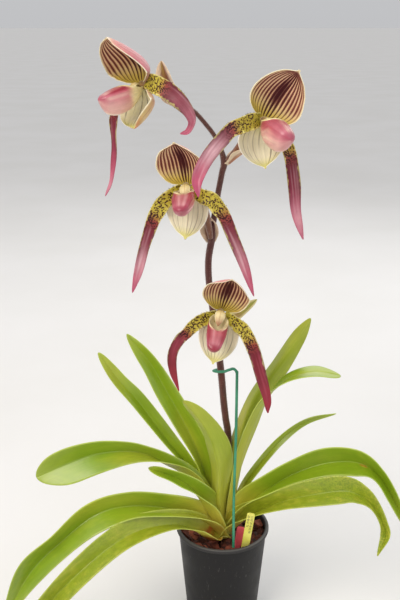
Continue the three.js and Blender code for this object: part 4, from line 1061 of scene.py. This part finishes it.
def petal_wave(shift, seed):
    """Four slow waves of the two margins, with a quick frill on the half nearer the column."""
    def ripple(u, v, half):
        slow = v ** 2 * np.sin(2 * math.pi * 4 * u + shift * np.sign(v))
        frill = 0.75 * v ** 4 * np.sin(2 * math.pi * (13 + seed % 3) * u + 2.1 * np.sign(v) + seed)
        return np.minimum(1, half / 4) * (slow + frill * (1 - smooth(u, 0.3, 0.6)))
    return ripple


def leaf_wave(seed):
    """A leaf lies a little unevenly: long swells of its margins and a faint rib at its keel."""
    random = np.random.default_rng(seed)
    rate, start, lean = random.uniform(1.5, 2.6), random.uniform(0, 6), random.uniform(0, 2)

    def ripple(u, v, half):
        swell = 0.9 * v ** 2 * np.sin(2 * math.pi * rate * u + start + lean * np.sign(v))
        rib = -0.35 * np.exp(-(v * half / 0.8) ** 2)
        return (swell * np.minimum(1, half / 8) * smooth(u, 0, 0.2) * (1 - smooth(u, 0.85, 1))) + rib
    return ripple


# Hairs

def add_hairs(name, roots, ways, reach, thick, material, slot, seed):
    """Hairs: three-sided spikes at the roots, each along its way, with its length and lean by chance."""
    random = np.random.default_rng(seed)
    count = len(roots)
    way = unit(ways + random.normal(0, 0.28, (count, 3)))
    side = unit(np.cross(way, unit(random.normal(0, 1, (count, 3)))))
    other = np.cross(way, side)
    long = reach * random.uniform(0.6, 1.2, (count, 1))
    corner = [side * math.cos(a) + other * math.sin(a) for a in THIRDS]
    base = [roots - 0.1 * way + thick / 2 * c for c in corner]
    points = np.stack([*base, roots + way * long], 1).reshape(-1, 3)
    k = 4 * np.arange(count)[:, None]
    faces = np.concatenate([k + np.array(f) for f in ((0, 1, 3), (1, 2, 3), (2, 0, 3), (2, 1, 0))])
    add_piece(name, points, faces, [material], slot)


def add_down(name, rod, slot, seeds, first, last, count, lift, reach):
    """Down: hairs at points picked by chance on the rings of a rod from first to last, raised by lift."""
    rings, out = rod
    random = np.random.default_rng(seeds[0])
    i, j = random.integers(first, last, count), random.integers(0, rings.shape[1], count)
    add_hairs(name, rings[i, j], out[i, j] + (0, 0, lift), reach, DOWN_THICK, down, slot, seeds[1])


def add_margin_hairs(name, grid, seed):
    """Dark hairs in small tufts on the two margins of a petal's spotted part, pointing outwards."""
    points, n = grid[0], grid[4]
    random = np.random.default_rng(seed)
    tuft = random.integers(0, TUFTS, DARK_HAIRS)
    row = random.integers(*SPOTTED_ROWS, TUFTS)[tuft] + random.integers(0, 2, DARK_HAIRS)
    edge = random.integers(0, 2, TUFTS)[tuft]
    roots = points[row, -edge]
    outward = unit(roots - points[row, np.where(edge, -2, 1)])
    add_hairs(name, roots, outward + 0.4 * n[row], DARK_HAIR_REACH, DARK_HAIR_THICK, dark_hair, "petal",
              seed + 20)


# Leaves: the mottling of some, the brown spot of one at (x, y) mm, and the stained feet of some
MOTTLED = {"leaf_3": 0.5, "leaf_12": 0.75, "leaf_2": 0.12, "leaf_11": 0.1}
BITTEN = {"leaf_11": (3, 190)}
STAINED = {"leaf_3": 1.4, "leaf_2": 0.4, "leaf_12": 0.3}
for k, (name, rows) in enumerate(LEAVES.items()):
    grid = blade_grid(rows, VIEWER, steps=100, across=24, tip=0.16, ripple=leaf_wave(30 + k))
    mottle = MOTTLED.get(name, 0.06)
    upper = leaf_mottled if mottle > 0.4 else leaf_upper
    marks = leaf_marks(50 + k, mottle, BITTEN.get(name), STAINED.get(name, 0.1))
    add_blade(name + "_blade", grid, LEAF_THICKNESS, marks, [upper, leaf_under], "leaf", [name])

# Flower stem, with its down
stem = add_rod("stem_rod", STEM, rod_marks(7), stem_skin, "stem", ["flower_stem"], sides=20, steps=220)
add_down("stem_down", stem, "stem", (8, 9), first=8, last=221, count=2600, lift=0.3, reach=1.3)


# Blooms

def axes(bloom):
    """Middle of the column, the way the bloom looks, and the way from the synsepal's tip to the dorsal's."""
    height = np.array(bloom["dorsal"]["tip"], float) - np.array(bloom["synsepal"]["tip"], float)
    return np.array(bloom["column"], float), unit(np.array(bloom["looks"], float)), height


def egg_rows(bloom, sepal, outline):
    """Rows of a sepal. Width: share to the power opens times the rest to the power closes, up to the
    small nub at the tip. The middle line bows away from where the sepal looks by bulge, and aside by
    lean, most at half way."""
    opens, closes = sepal.get("outline", outline)
    widest = opens / (opens + closes)
    fullest = widest ** opens * (1 - widest) ** closes
    column, tip = np.array(bloom["column"], float), np.array(sepal["tip"], float)
    looks = unit(np.array(sepal["looks"], float))
    start = column + (tip - column) * SEPAL_FOOT - SEPAL_SUNK * looks
    aside = unit(np.cross(tip - start, looks))
    share = 0.5 - 0.5 * np.cos(math.pi * np.arange(SEPAL_ROWS) / (SEPAL_ROWS - 1))
    body = np.minimum(share / (1 - sepal.get("nub", NUB_SHARE)), 1)
    egg = body ** opens * (1 - body) ** closes / fullest
    bow = (aside * sepal.get("lean", 0) - looks * sepal["bulge"]) * np.sin(math.pi * share)[:, None]
    points = start + (tip - start) * share[:, None] + bow
    width = np.maximum(sepal["width"] * egg, SEPAL_LEAST[0] - SEPAL_LEAST[1] * share)
    return np.column_stack([points, width, np.zeros((SEPAL_ROWS, 2))])


def add_sepals(k, bloom):
    """The dorsal sepal and the synsepal: cupped blades with ridges over their veins."""
    sepal, name = bloom["dorsal"], f"dorsal_sepal_{k + 1}"
    waves = veined(count=DORSAL_VEINS, height=0.22, margin=sepal["margin"], waves=2.3, seed=k)
    grid = blade_grid(egg_rows(bloom, sepal, DORSAL_OUTLINE), sepal["looks"], steps=72, across=120, tip=0.05,
                      cup=sepal["cup"], ripple=waves)
    add_blade(name + "_skin", grid, SEPAL_THICKNESS, dorsal_marks(60 + k), [dorsal_inside, dorsal_back],
              "dorsal_sepal", [name])
    sepal, name = bloom["synsepal"], f"synsepal_{k + 1}"
    waves = veined(count=4.6, height=0.25, margin=0.8, waves=1.7, seed=k)
    grid = blade_grid(egg_rows(bloom, sepal, SYNSEPAL_OUTLINE), sepal["looks"], steps=56, across=48, tip=0.06,
                      cup=sepal["cup"], ripple=waves)
    add_blade(name + "_skin", grid, SEPAL_THICKNESS, synsepal_marks(70 + k), [synsepal_inside, synsepal_back],
              "synsepal", [name])


def add_petals(k, bloom):
    """The two petals: waved blades, with stiff dark hairs along the margins of the spotted part."""
    skin = petal_dark_skin if k == 3 else petal_skin
    for hand, shift in (("left", 1), ("right", 2)):
        name, seed = f"petal_{hand}_{k + 1}", 2 * k + shift
        grid = blade_grid(bloom["petal_" + hand], VIEWER, steps=240, across=24, tip=0.12, cup=24,
                          ripple=petal_wave(shift, 3 * k + shift))
        add_blade(name + "_skin", grid, PETAL_THICKNESS, petal_marks(80 + seed, bloom["rosy"][shift - 1]),
                  [skin, skin], "petal", [name])
        add_margin_hairs(name + "_hairs", grid, 100 + seed)


def add_staminode(k, bloom):
    """Shield in front of the column: rows forward of it and above it, with its sides bent back."""
    column, looks, height = axes(bloom)
    up = unit(height)
    rows = [(*(column + forward * looks + rise * up), width, 0, 0) for forward, rise, width in STAMINODE]
    grid = blade_grid(rows, up, steps=24, across=20, tip=0.3, cup=-40)
    add_blade(f"staminode_{k + 1}_shield", grid, STAMINODE_THICKNESS, staminode_marks,
              [staminode_skin, staminode_skin], "staminode", [f"staminode_{k + 1}"])


def ovary_ribs(u, angle):
    """Six low ribs round an ovary, highest half way."""
    return 0.22 * np.cos(6 * angle) * np.sin(math.pi * u)


def add_ovary(k, bloom):
    """Pedicel, ovary and column as one ribbed rod, with its down."""
    column, looks, _ = axes(bloom)
    rows = [*bloom["pedicel"], (*column, 4), (*(column + 4 * looks), 2.8)]
    ovary = add_rod(f"ovary_{k + 1}_rod", rows, rod_marks(90 + k), ovary_skin, "ovary", [f"ovary_{k + 1}"],
                    sides=24, steps=60, swell=ovary_ribs)
    add_down(f"ovary_{k + 1}_down", ovary, "ovary", (140 + k, 150 + k), first=2, last=48, count=420, lift=0,
             reach=1.1)


def add_bract(k, bloom):
    """Sheath at the node: a folded blade with fine veins. The third is dark on both sides, and the fourth
    is still green."""
    skins = [bract_inside, bract_inside if k == 2 else bract_back]
    if k == 3:
        skins = [bract_green, bract_green]
    grid = blade_grid(bloom["bract"], bloom["bract_looks"], steps=60, across=16, tip=0.1,
                      ripple=veined(count=5, height=0.12, margin=0.6, waves=2, seed=k))
    add_blade(f"bract_{k + 1}_sheath", grid, BRACT_THICKNESS, bract_marks(160 + k), skins, "bract",
              [f"bract_{k + 1}"])


for k, bloom in enumerate(BLOOMS):
    add_sepals(k, bloom)
    add_petals(k, bloom)
    add_staminode(k, bloom)
    add_ovary(k, bloom)
    add_bract(k, bloom)


# Pouches

def rounder(values, power):
    """Sizes raised to a power, signs kept: below 1 it squares a circle's sine and cosine."""
    return np.sign(values) * np.abs(values) ** power


def mouth_opening(t, half, above, below, square, reach):
    """The mouth is where a flattened ball above the heel takes the pouch out. Half angle of the opening
    in each section: where the ball's equation passes 1, evened out over seven sections. Also gives the
    last section that is open."""
    angle = np.linspace(0, math.pi, 361)[None, :]
    rise = rounder(np.cos(angle), square)
    high = np.where(rise > 0, above, below) * rise
    wide = half * rounder(np.sin(angle), square)
    ball = ((t - MOUTH_AT) / reach) ** 2 + (wide / MOUTH_RADIUS) ** 2
    ball = ball + ((high - MOUTH_RISE) / MOUTH_RADIUS) ** 2
    opening = angle[0, np.argmax(ball > 1, axis=1)]
    opening = np.convolve(np.pad(opening, 3, mode="edge"), np.ones(7) / 7, "valid")
    last_open = int(np.flatnonzero(opening > MOUTH_LEAST).max())
    opening[last_open + 1:] = 0
    return opening[:, None], last_open


def pouch_faces(last_open):
    """Faces of the outer wall, the inner wall and the rim between them, and their kinds. Past the last
    open section the walls close along the top, and the last section is one point."""
    side = POUCH_STEPS + 1
    count = side ** 2
    k = np.arange(count).reshape(side, side)
    k[last_open + 1:, -1] = k[last_open + 1:, 0]
    k[-1] = k[-1, 0]
    wall = np.stack([k[:-1, :-1], k[:-1, 1:], k[1:, 1:], k[1:, :-1]], -1).reshape(-1, 4)
    edge = np.concatenate([k[:last_open + 2, 0][::-1], k[0, 1:], k[1:last_open + 2, -1]])
    rim = np.stack([edge[:-1], edge[1:], edge[1:] + count, edge[:-1] + count], -1)
    faces = np.concatenate([wall, wall[:, ::-1] + count, rim[:, ::-1]])
    return faces, np.repeat([0, 1, 0], [len(wall), len(wall), len(rim)])


def add_pouch(k, bloom):
    """Pouch: round sections along the line from heel to toe, their half width, height and depth read
    from the rows and rounded off at the toe. The rim turns outwards, low creases run along it, and an
    inner wall follows one wall thickness within."""
    column, looks, height = axes(bloom)
    heel, toe = column + POUCH_START * looks, np.array(bloom["toe"], float)
    length = np.linalg.norm(toe - heel)
    line = (toe - heel) / length
    up = unit(height - line * height.dot(line))
    side = np.cross(line, up)
    t = (0.5 - 0.5 * np.cos(math.pi * np.arange(POUCH_STEPS + 1) / POUCH_STEPS))[:, None]
    rounded = np.sqrt(np.maximum(1 - (np.maximum(t - 1 + POUCH_ROUND, 0) / POUCH_ROUND) ** 2, 0))
    half, above, below = np.split(along(POUCH_ROWS, t[:, 0]) * bloom["fullness"] * rounded, 3, axis=1)
    square = 1 - (1 - bloom.get("square", 1)) * (1 - smooth(t, 0.6, 0.95))
    opening, last_open = mouth_opening(t, half, above, below, square, bloom.get("mouth", MOUTH_HALF))
    w = np.linspace(-1, 1, POUCH_STEPS + 1)[None, :]
    around = math.pi / 2 + opening + (2 * math.pi - 2 * opening) * (w + 1) / 2
    turn = rounder(np.sin(around), square)
    tall = np.where(turn > 0, above, below)
    roll = smooth(np.abs(w), RIM_FROM, 1.0) * (opening > 0) * np.minimum(1, opening * 2)
    grow = RIM_OUT * np.sin(math.pi * roll * 0.5)
    crease = 0.18 * np.cos(18 * math.pi * w) * np.sin(math.pi * t) * (1 - roll)
    walls = []
    for inset in (0, POUCH_WALL):
        reach = inset + (length - 2 * inset) * t
        out = np.maximum(half - inset + grow + crease, 0.5) * rounder(np.cos(around), square)
        rise = np.maximum(tall - inset + RIM_UP * grow + crease, 0.5) * turn
        points = heel + line * reach[..., None] - side * out[..., None] + up * rise[..., None]
        points[-1] = points[-1].mean(0)
        walls.append(points.reshape(-1, 3))
    faces, kinds = pouch_faces(last_open)
    w, y, _ = np.broadcast_arrays(w, t, around)
    girth = half.max() * (around - math.pi)
    skin = pouch_rose_skin if k < 2 else pouch_red_skin
    add_piece(f"pouch_{k + 1}_shell", np.concatenate(walls), faces, [skin, pouch_lining], "pouch",
              [f"pouch_{k + 1}"], kinds,
              **skin_fields(pouch_marks(170 + k, *bloom["pouch"]), (girth, y * length), w, y, around, y))


for k, bloom in enumerate(BLOOMS):
    add_pouch(k, bloom)

# Stake
add_rod("stake_wire", [(*point, STAKE_RADIUS) for point in STAKE], rod_marks(12), stake_coating, "stake",
        ["stake"], sides=16, steps=200)


# Labels

def label_frame(name):
    """A label's foot, height and bow, and the ways up it, across it and out of its back."""
    foot, top, bow = LABELS[name]
    foot, top = np.array(foot, float), np.array(top, float)
    height = np.linalg.norm(top - foot)
    up = (top - foot) / height
    side = unit(np.cross(up, LABEL_BACK))
    return foot, height, bow, up, side, np.cross(side, up)


def add_label(name, material):
    """Strip with a pointed foot and rounded top corners, bowed back along its height."""
    foot, height, bow, up, side, back = label_frame(name)
    half = LABEL_WIDTH / 2
    y = np.concatenate([np.linspace(0, height - LABEL_CORNER, 79),
                        height - LABEL_CORNER * (1 - np.sin(np.linspace(0.12, math.pi / 2, 12)))])
    pointed = LABEL_POINT_HALF + (half - LABEL_POINT_HALF) * np.minimum(y / LABEL_POINT, 1)
    past = np.maximum(y - height + LABEL_CORNER, 0)
    rounded = half - LABEL_CORNER + np.sqrt(np.maximum(LABEL_CORNER ** 2 - past ** 2, 0))
    v = np.linspace(-1, 1, 9)
    x = np.minimum(pointed, rounded)[:, None] * v
    bowed = bow * np.sin(math.pi * y / height)
    middle = foot + up * y[:, None] + back * bowed[:, None]
    grid = (middle[:, None] + side * x[..., None], v, y, x)
    add_blade(name + "_strip", grid, LABEL_THICKNESS, no_marks, [material, material], name, [name])


def add_writing():
    """Pencilled numbers that run down the yellow label: thin letters just proud of the side that the
    camera sees."""
    foot, height, bow, up, side, back = label_frame("label_yellow")
    for k, body in enumerate(WRITING):
        curve = bpy.data.curves.new("writing", "FONT")
        curve.body = body
        curve.size = WRITING_SIZE * MM
        curve.extrude = WRITING_THICKNESS * MM
        curve.resolution_u = 3
        font = bpy.data.objects.new("writing", curve)
        bpy.context.scene.collection.objects.link(font)
        bpy.context.view_layer.update()
        letters = bpy.data.meshes.new_from_object(font)
        bpy.data.objects.remove(font)
        flat = np.empty(3 * len(letters.vertices))
        letters.vertices.foreach_get("co", flat)
        flat = flat.reshape(-1, 3) / MM
        below = WRITING_FROM + flat[:, :1]
        across = WRITING_SIDE - WRITING_STEP * k + flat[:, 1:2]
        bowed = bow * np.sin(math.pi * (1 - below / height))
        placed = foot + up * (height - below) - side * across + back * (bowed - WRITING_PROUD - flat[:, 2:])
        letters.vertices.foreach_set("co", (placed * MM).ravel())
        letters.materials.clear()
        letters.materials.append(pencil)
        letters.update()
        writing = bpy.data.objects.new(f"label_numbers_{k + 1}", letters)
        bpy.context.scene.collection.objects.link(writing)
        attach(writing, "root")


add_label("label_yellow", label_yellow)
add_writing()
add_label("label_red", label_red)


# Pot, bark and crown: bodies turned about an upright axis, and loose chips

def wall_radius(height):
    """Outside radius of the pot's wall: it grows evenly from the foot to under the rim."""
    return POT_FOOT_RADIUS + (POT_WALL_TOP_RADIUS - POT_FOOT_RADIUS) * height / UNDER_RIM


def turned(outline, sides, centre=(0, 0), swell=None):
    """Points and faces of a body turned about an upright axis from a line of radius and height, lowest
    first. The first and last points lie on the axis. swell takes (height, angle) and gives extra
    radius."""
    r, z = np.array(outline, float).T
    angle = np.linspace(0, 2 * math.pi, sides, endpoint=False)[None, :]
    radius = r[1:-1, None] + (swell(z[1:-1, None], angle) if swell else 0 * angle)
    rings = np.stack([radius * np.cos(angle) + centre[0], radius * np.sin(angle) + centre[1],
                      0 * angle + z[1:-1, None]], -1)
    points = np.concatenate([rings.reshape(-1, 3), [(*centre, z[0]), (*centre, z[-1])]])
    return points, ring_faces(len(r) - 2, sides, len(points) - 2, len(points) - 1)


def spread_round(values, sides):
    """Values of an outline's points, given to every point of the body that is turned from it."""
    values = np.array(values, float)
    return np.concatenate([np.repeat(values[1:-1], sides, axis=0), values[[0, -1]]])


def add_pot():
    """Container with a proud rim. Its outline runs from the middle of the foot up the wall, over the rim
    and down the inside to the middle of the floor: radius, height, and how worn it is."""
    top, rim, inner = POT_WALL_TOP_RADIUS, POT_RIM_RADIUS, POT_WALL_TOP_RADIUS - POT_WALL
    outline = np.array([
        (0, 0, 0), (20, 0, 0), (37.6, 0, 0.1), (38.6, 0.15, 0.3), (39.3, 0.5, 0.3),
        (wall_radius(1), 1.1, 0.1), *[(wall_radius(height), height, 0) for height in (14, 40, 70, 100, 108)],
        (top - 0.2, UNDER_RIM - 0.3, 0), (top + 0.2, UNDER_RIM, 0), (rim - 0.5, UNDER_RIM, 0.1),
        (rim - 0.1, UNDER_RIM + 0.3, 0.15), (rim, UNDER_RIM + 0.8, 0.1), (rim, POT_HEIGHT - 1, 0.15),
        (rim - 0.3, POT_HEIGHT - 0.3, 0.4), (rim - 0.9, POT_HEIGHT, 0.45), (inner + 0.8, POT_HEIGHT, 0.15),
        (inner + 0.2, POT_HEIGHT - 0.3, 0.1), (inner, POT_HEIGHT - 1, 0.05),
        (wall_radius(60) - POT_WALL, 60, 0), (wall_radius(POT_FLOOR) - POT_WALL, POT_FLOOR, 0),
        (20, POT_FLOOR, 0), (0, POT_FLOOR, 0),
    ])
    points, faces = turned(outline[:, :2], POT_SIDES)
    pot = add_piece("pot_shell", points, faces, [pot_plastic], "pot", ["pot"],
                    worn=spread_round(outline[:, 2], POT_SIDES))
    cut_with(pot, [drain_cutter(k) for k in range(DRAIN_HOLES)])
    pot.data.shade_smooth()


def cut_with(piece, cutters):
    """Takes the cutters out of a piece, and removes them."""
    for cutter in cutters:
        cut = piece.modifiers.new("hole", "BOOLEAN")
        cut.operation = "DIFFERENCE"
        cut.object = cutter
        cut.solver = "EXACT"
    bpy.context.view_layer.update()
    done = bpy.data.meshes.new_from_object(piece.evaluated_get(bpy.context.evaluated_depsgraph_get()))
    piece.modifiers.clear()
    piece.data = done
    for cutter in cutters:
        bpy.data.objects.remove(cutter)


def drain_cutter(hole):
    """Upright cylinder through the floor at one of the drain holes, which stand evenly on a circle."""
    angle = np.linspace(0, 2 * math.pi, DRAIN_SIDES, endpoint=False)
    at = 2 * math.pi * hole / DRAIN_HOLES
    ring = np.stack([DRAIN_RADIUS * np.cos(angle) + DRAIN_CIRCLE * math.cos(at),
                     DRAIN_RADIUS * np.sin(angle) + DRAIN_CIRCLE * math.sin(at)], -1)
    points = np.concatenate([np.column_stack([ring, np.full(DRAIN_SIDES, z)]) for z in (-5, 5)]) * MM
    low = np.arange(DRAIN_SIDES)
    after = np.roll(low, -1)
    walls = np.stack([low, after, after + DRAIN_SIDES, low + DRAIN_SIDES], -1).tolist()
    ends = [low[::-1].tolist(), (low + DRAIN_SIDES).tolist()]
    mesh = bpy.data.meshes.new("drain_cutter")
    mesh.from_pydata(points.tolist(), [], [*walls, *ends])
    cutter = bpy.data.objects.new("drain_cutter", mesh)
    bpy.context.scene.collection.objects.link(cutter)
    return cutter


def turned_by(points, a, b, angle):
    """Points of each stone turned by the stone's own angle from axis a towards axis b."""
    c, s = np.cos(angle)[:, None], np.sin(angle)[:, None]
    moved = points.copy()
    moved[..., a] = points[..., a] * c - points[..., b] * s
    moved[..., b] = points[..., a] * s + points[..., b] * c
    return moved


def chip_stones(random):
    """Flat stones of seven corners, each with its own size, outline, tilt and heading: an upper ring a
    little smaller than the lower one, and a point in the middle of each side."""
    each = (CHIP_COUNT, CHIP_CORNERS)
    long = random.uniform(6.5, 11, CHIP_COUNT)
    wide = long * random.uniform(0.5, 0.85, CHIP_COUNT)
    deep = random.uniform(1.6, 3.6, CHIP_COUNT)
    angle = np.linspace(0, 2 * math.pi, CHIP_CORNERS, endpoint=False) + random.uniform(-0.3, 0.3, each)
    bulk = random.uniform(0.75, 1.1, each)
    x, y = long[:, None] * np.cos(angle) * bulk, wide[:, None] * np.sin(angle) * bulk
    level = random.uniform(-0.25, 0.25, each) * deep[:, None]
    top = np.stack([x * 0.86, y * 0.8, deep[:, None] + level], -1)
    low = np.stack([x, y, -deep[:, None] + level], -1)
    ends = np.zeros((CHIP_COUNT, 2, 3))
    ends[..., 2] = np.stack([1.15 * deep, -deep], -1)
    spin = random.uniform(0, 2 * math.pi, CHIP_COUNT)
    tilt, roll = random.normal(0, 0.35, CHIP_COUNT), random.normal(0, 0.35, CHIP_COUNT)
    stones = np.concatenate([top, low, ends], 1)
    return turned_by(turned_by(turned_by(stones, 1, 2, tilt), 0, 2, roll), 0, 1, spin)


def chip_faces():
    """Faces of all the stones: a wall between the two rings, and a fan to the middle of each side."""
    k = np.arange(CHIP_CORNERS)
    after = (k + 1) % CHIP_CORNERS
    size = 2 * CHIP_CORNERS + 2
    high, low = np.full(CHIP_CORNERS, size - 2), np.full(CHIP_CORNERS, size - 1)
    one = np.concatenate([
        np.stack([k + CHIP_CORNERS, after + CHIP_CORNERS, after, k], -1),
        np.stack([k, after, high, high], -1),
        np.stack([after + CHIP_CORNERS, k + CHIP_CORNERS, low, low], -1),
    ])
    return (one + size * np.arange(CHIP_COUNT)[:, None, None]).reshape(-1, 4)


def add_bark():
    """A filled body under loose chips. The chips lie in a golden-angle spiral with a small shift by
    chance, a little higher near the wall, and are drawn in where they would touch it. Each has a tone
    of its own."""
    random = np.random.default_rng(21)
    clear = POT_WALL + BARK_CLEAR
    index = np.arange(CHIP_COUNT)
    heading_angle = index * GOLDEN_ANGLE + random.normal(0, 0.25, CHIP_COUNT)
    radius = CHIP_CIRCLE * np.sqrt((index + 0.5) / CHIP_COUNT)
    chips = chip_stones(random)
    height = BARK_LEVEL + random.uniform(-0.5, 4.5, CHIP_COUNT) + 2.5 * (radius / 45) ** 2
    chips += np.stack([radius * np.cos(heading_angle), radius * np.sin(heading_angle), height], -1)[:, None]
    far = np.hypot(chips[..., 0], chips[..., 1])
    limit = wall_radius(chips[..., 2]) - clear - BARK_CLEAR
    chips[..., :2] *= np.minimum(1, limit / far)[..., None]
    chips[..., 2] = np.minimum(chips[..., 2], POT_HEIGHT - 2.5)
    size = chips.shape[1]
    tone = np.repeat(random.uniform(0, 1, CHIP_COUNT), size) + random.normal(0, 0.12, CHIP_COUNT * size)
    foot = POT_FLOOR + BARK_CLEAR
    body, body_faces = turned([
        (0, foot), (20, foot), (wall_radius(POT_FLOOR) - clear, foot),
        (wall_radius(BARK_LEVEL - 1) - clear, BARK_LEVEL - 1), (30, BARK_LEVEL - 0.5), (0, BARK_LEVEL),
    ], BARK_SIDES)
    points = np.concatenate([body, chips.reshape(-1, 3)])
    faces = np.concatenate([body_faces, chip_faces() + len(body)])
    tones = np.concatenate([np.full(len(body), 0.05), np.clip(tone, 0, 1)])
    add_piece("bark_bed", points, faces, [bark_chips], "bark", ["bark"], flat=np.ones(len(faces), bool),
              tone=tones)


def crown_swell(z, angle):
    """Wider than round near the top, with eleven low folds."""
    spread = CROWN_SPREAD * np.cos(2 * angle) * smooth(z, 88, 106) * (1 - smooth(z, 108, 114))
    return spread + 0.4 * np.cos(11 * angle) * smooth(z, 90, 97) * (1 - smooth(z, 106, 113))


def add_crown():
    """Short fat base of the shoot, wrapped in old sheaths, turned from its outline."""
    share = np.linspace(0, 1, CROWN_STEPS)
    radius, height = np.array(CROWN, float).T
    at = np.linspace(0, 1, len(CROWN))
    outline = np.stack([np.interp(share, at, radius), np.interp(share, at, height)], -1)
    points, faces = turned(outline, CROWN_SIDES, CROWN_AT, crown_swell)
    s = spread_round(share, CROWN_SIDES)
    add_piece("crown_sheaths", points, faces, [crown_skin], "crown", ["crown"],
              shares=np.stack([0 * s, s, 0 * s], -1), sizes=np.stack([30 * s, 30 * s, 0 * s], -1),
              ink=0.3 + 0 * s, flush=0.3 + 0 * s, pale=0 * s)


add_pot()
add_bark()
add_crown()


# Studio: pale floor and soft light

def add_floor():
    """Square floor, which ends far behind the object."""
    points = [(-FLOOR_REACH, -FLOOR_REACH, 0), (FLOOR_REACH, -FLOOR_REACH, 0),
              (FLOOR_REACH, FLOOR_REACH, 0), (-FLOOR_REACH, FLOOR_REACH, 0)]
    mesh = bpy.data.meshes.new("studio_floor")
    mesh.from_pydata(points, [], [(0, 1, 2, 3)])
    mesh.materials.append(studio_floor)
    floor = bpy.data.objects.new("studio_floor", mesh)
    bpy.context.scene.collection.objects.link(floor)


def add_light(name, place, aim, size, power, colour):
    """Square softbox, size metres wide, at place and turned to aim."""
    data = bpy.data.lights.new(name, "AREA")
    data.size = size
    data.energy = power
    data.color = linear(colour)[:3]
    light = bpy.data.objects.new(name, data)
    light.location = place
    way = Vector(aim) - Vector(place)
    light.rotation_euler = way.to_track_quat("-Z", "Y").to_euler()
    bpy.context.scene.collection.objects.link(light)


add_floor()
add_light("key_softbox", (-1.1, -1.3, 1.9), aim=(0, 0, 0.3), size=1.3, power=30, colour="#fff7ec")
add_light("fill_softbox", (1.4, -1.0, 1.1), aim=(0, 0, 0.35), size=1.6, power=6, colour="#eef4ff")
add_light("rim_softbox", (0.5, 1.4, 1.7), aim=(0, 0, 0.4), size=1.6, power=13, colour="#ffffff")
# The air is brighter overhead, and near the horizon it has the grey of the far floor
world = bpy.data.worlds.new("studio_air")
world.use_nodes = True
tree = world.node_tree
heading_up = add(tree, "ShaderNodeSeparateXYZ", {0: add(tree, "ShaderNodeTexCoord").outputs["Generated"]})
glow = add(tree, "ShaderNodeMapRange", {0: heading_up.outputs["Z"], 1: 0.0, 2: 1.0, 3: 0.55, 4: 0.81})
tree.nodes["Background"].inputs["Color"].default_value = linear("#fbfcff")
tree.links.new(glow.outputs[0], tree.nodes["Background"].inputs["Strength"])
bpy.context.scene.world = world
bpy.context.scene.view_settings.view_transform = "Standard"
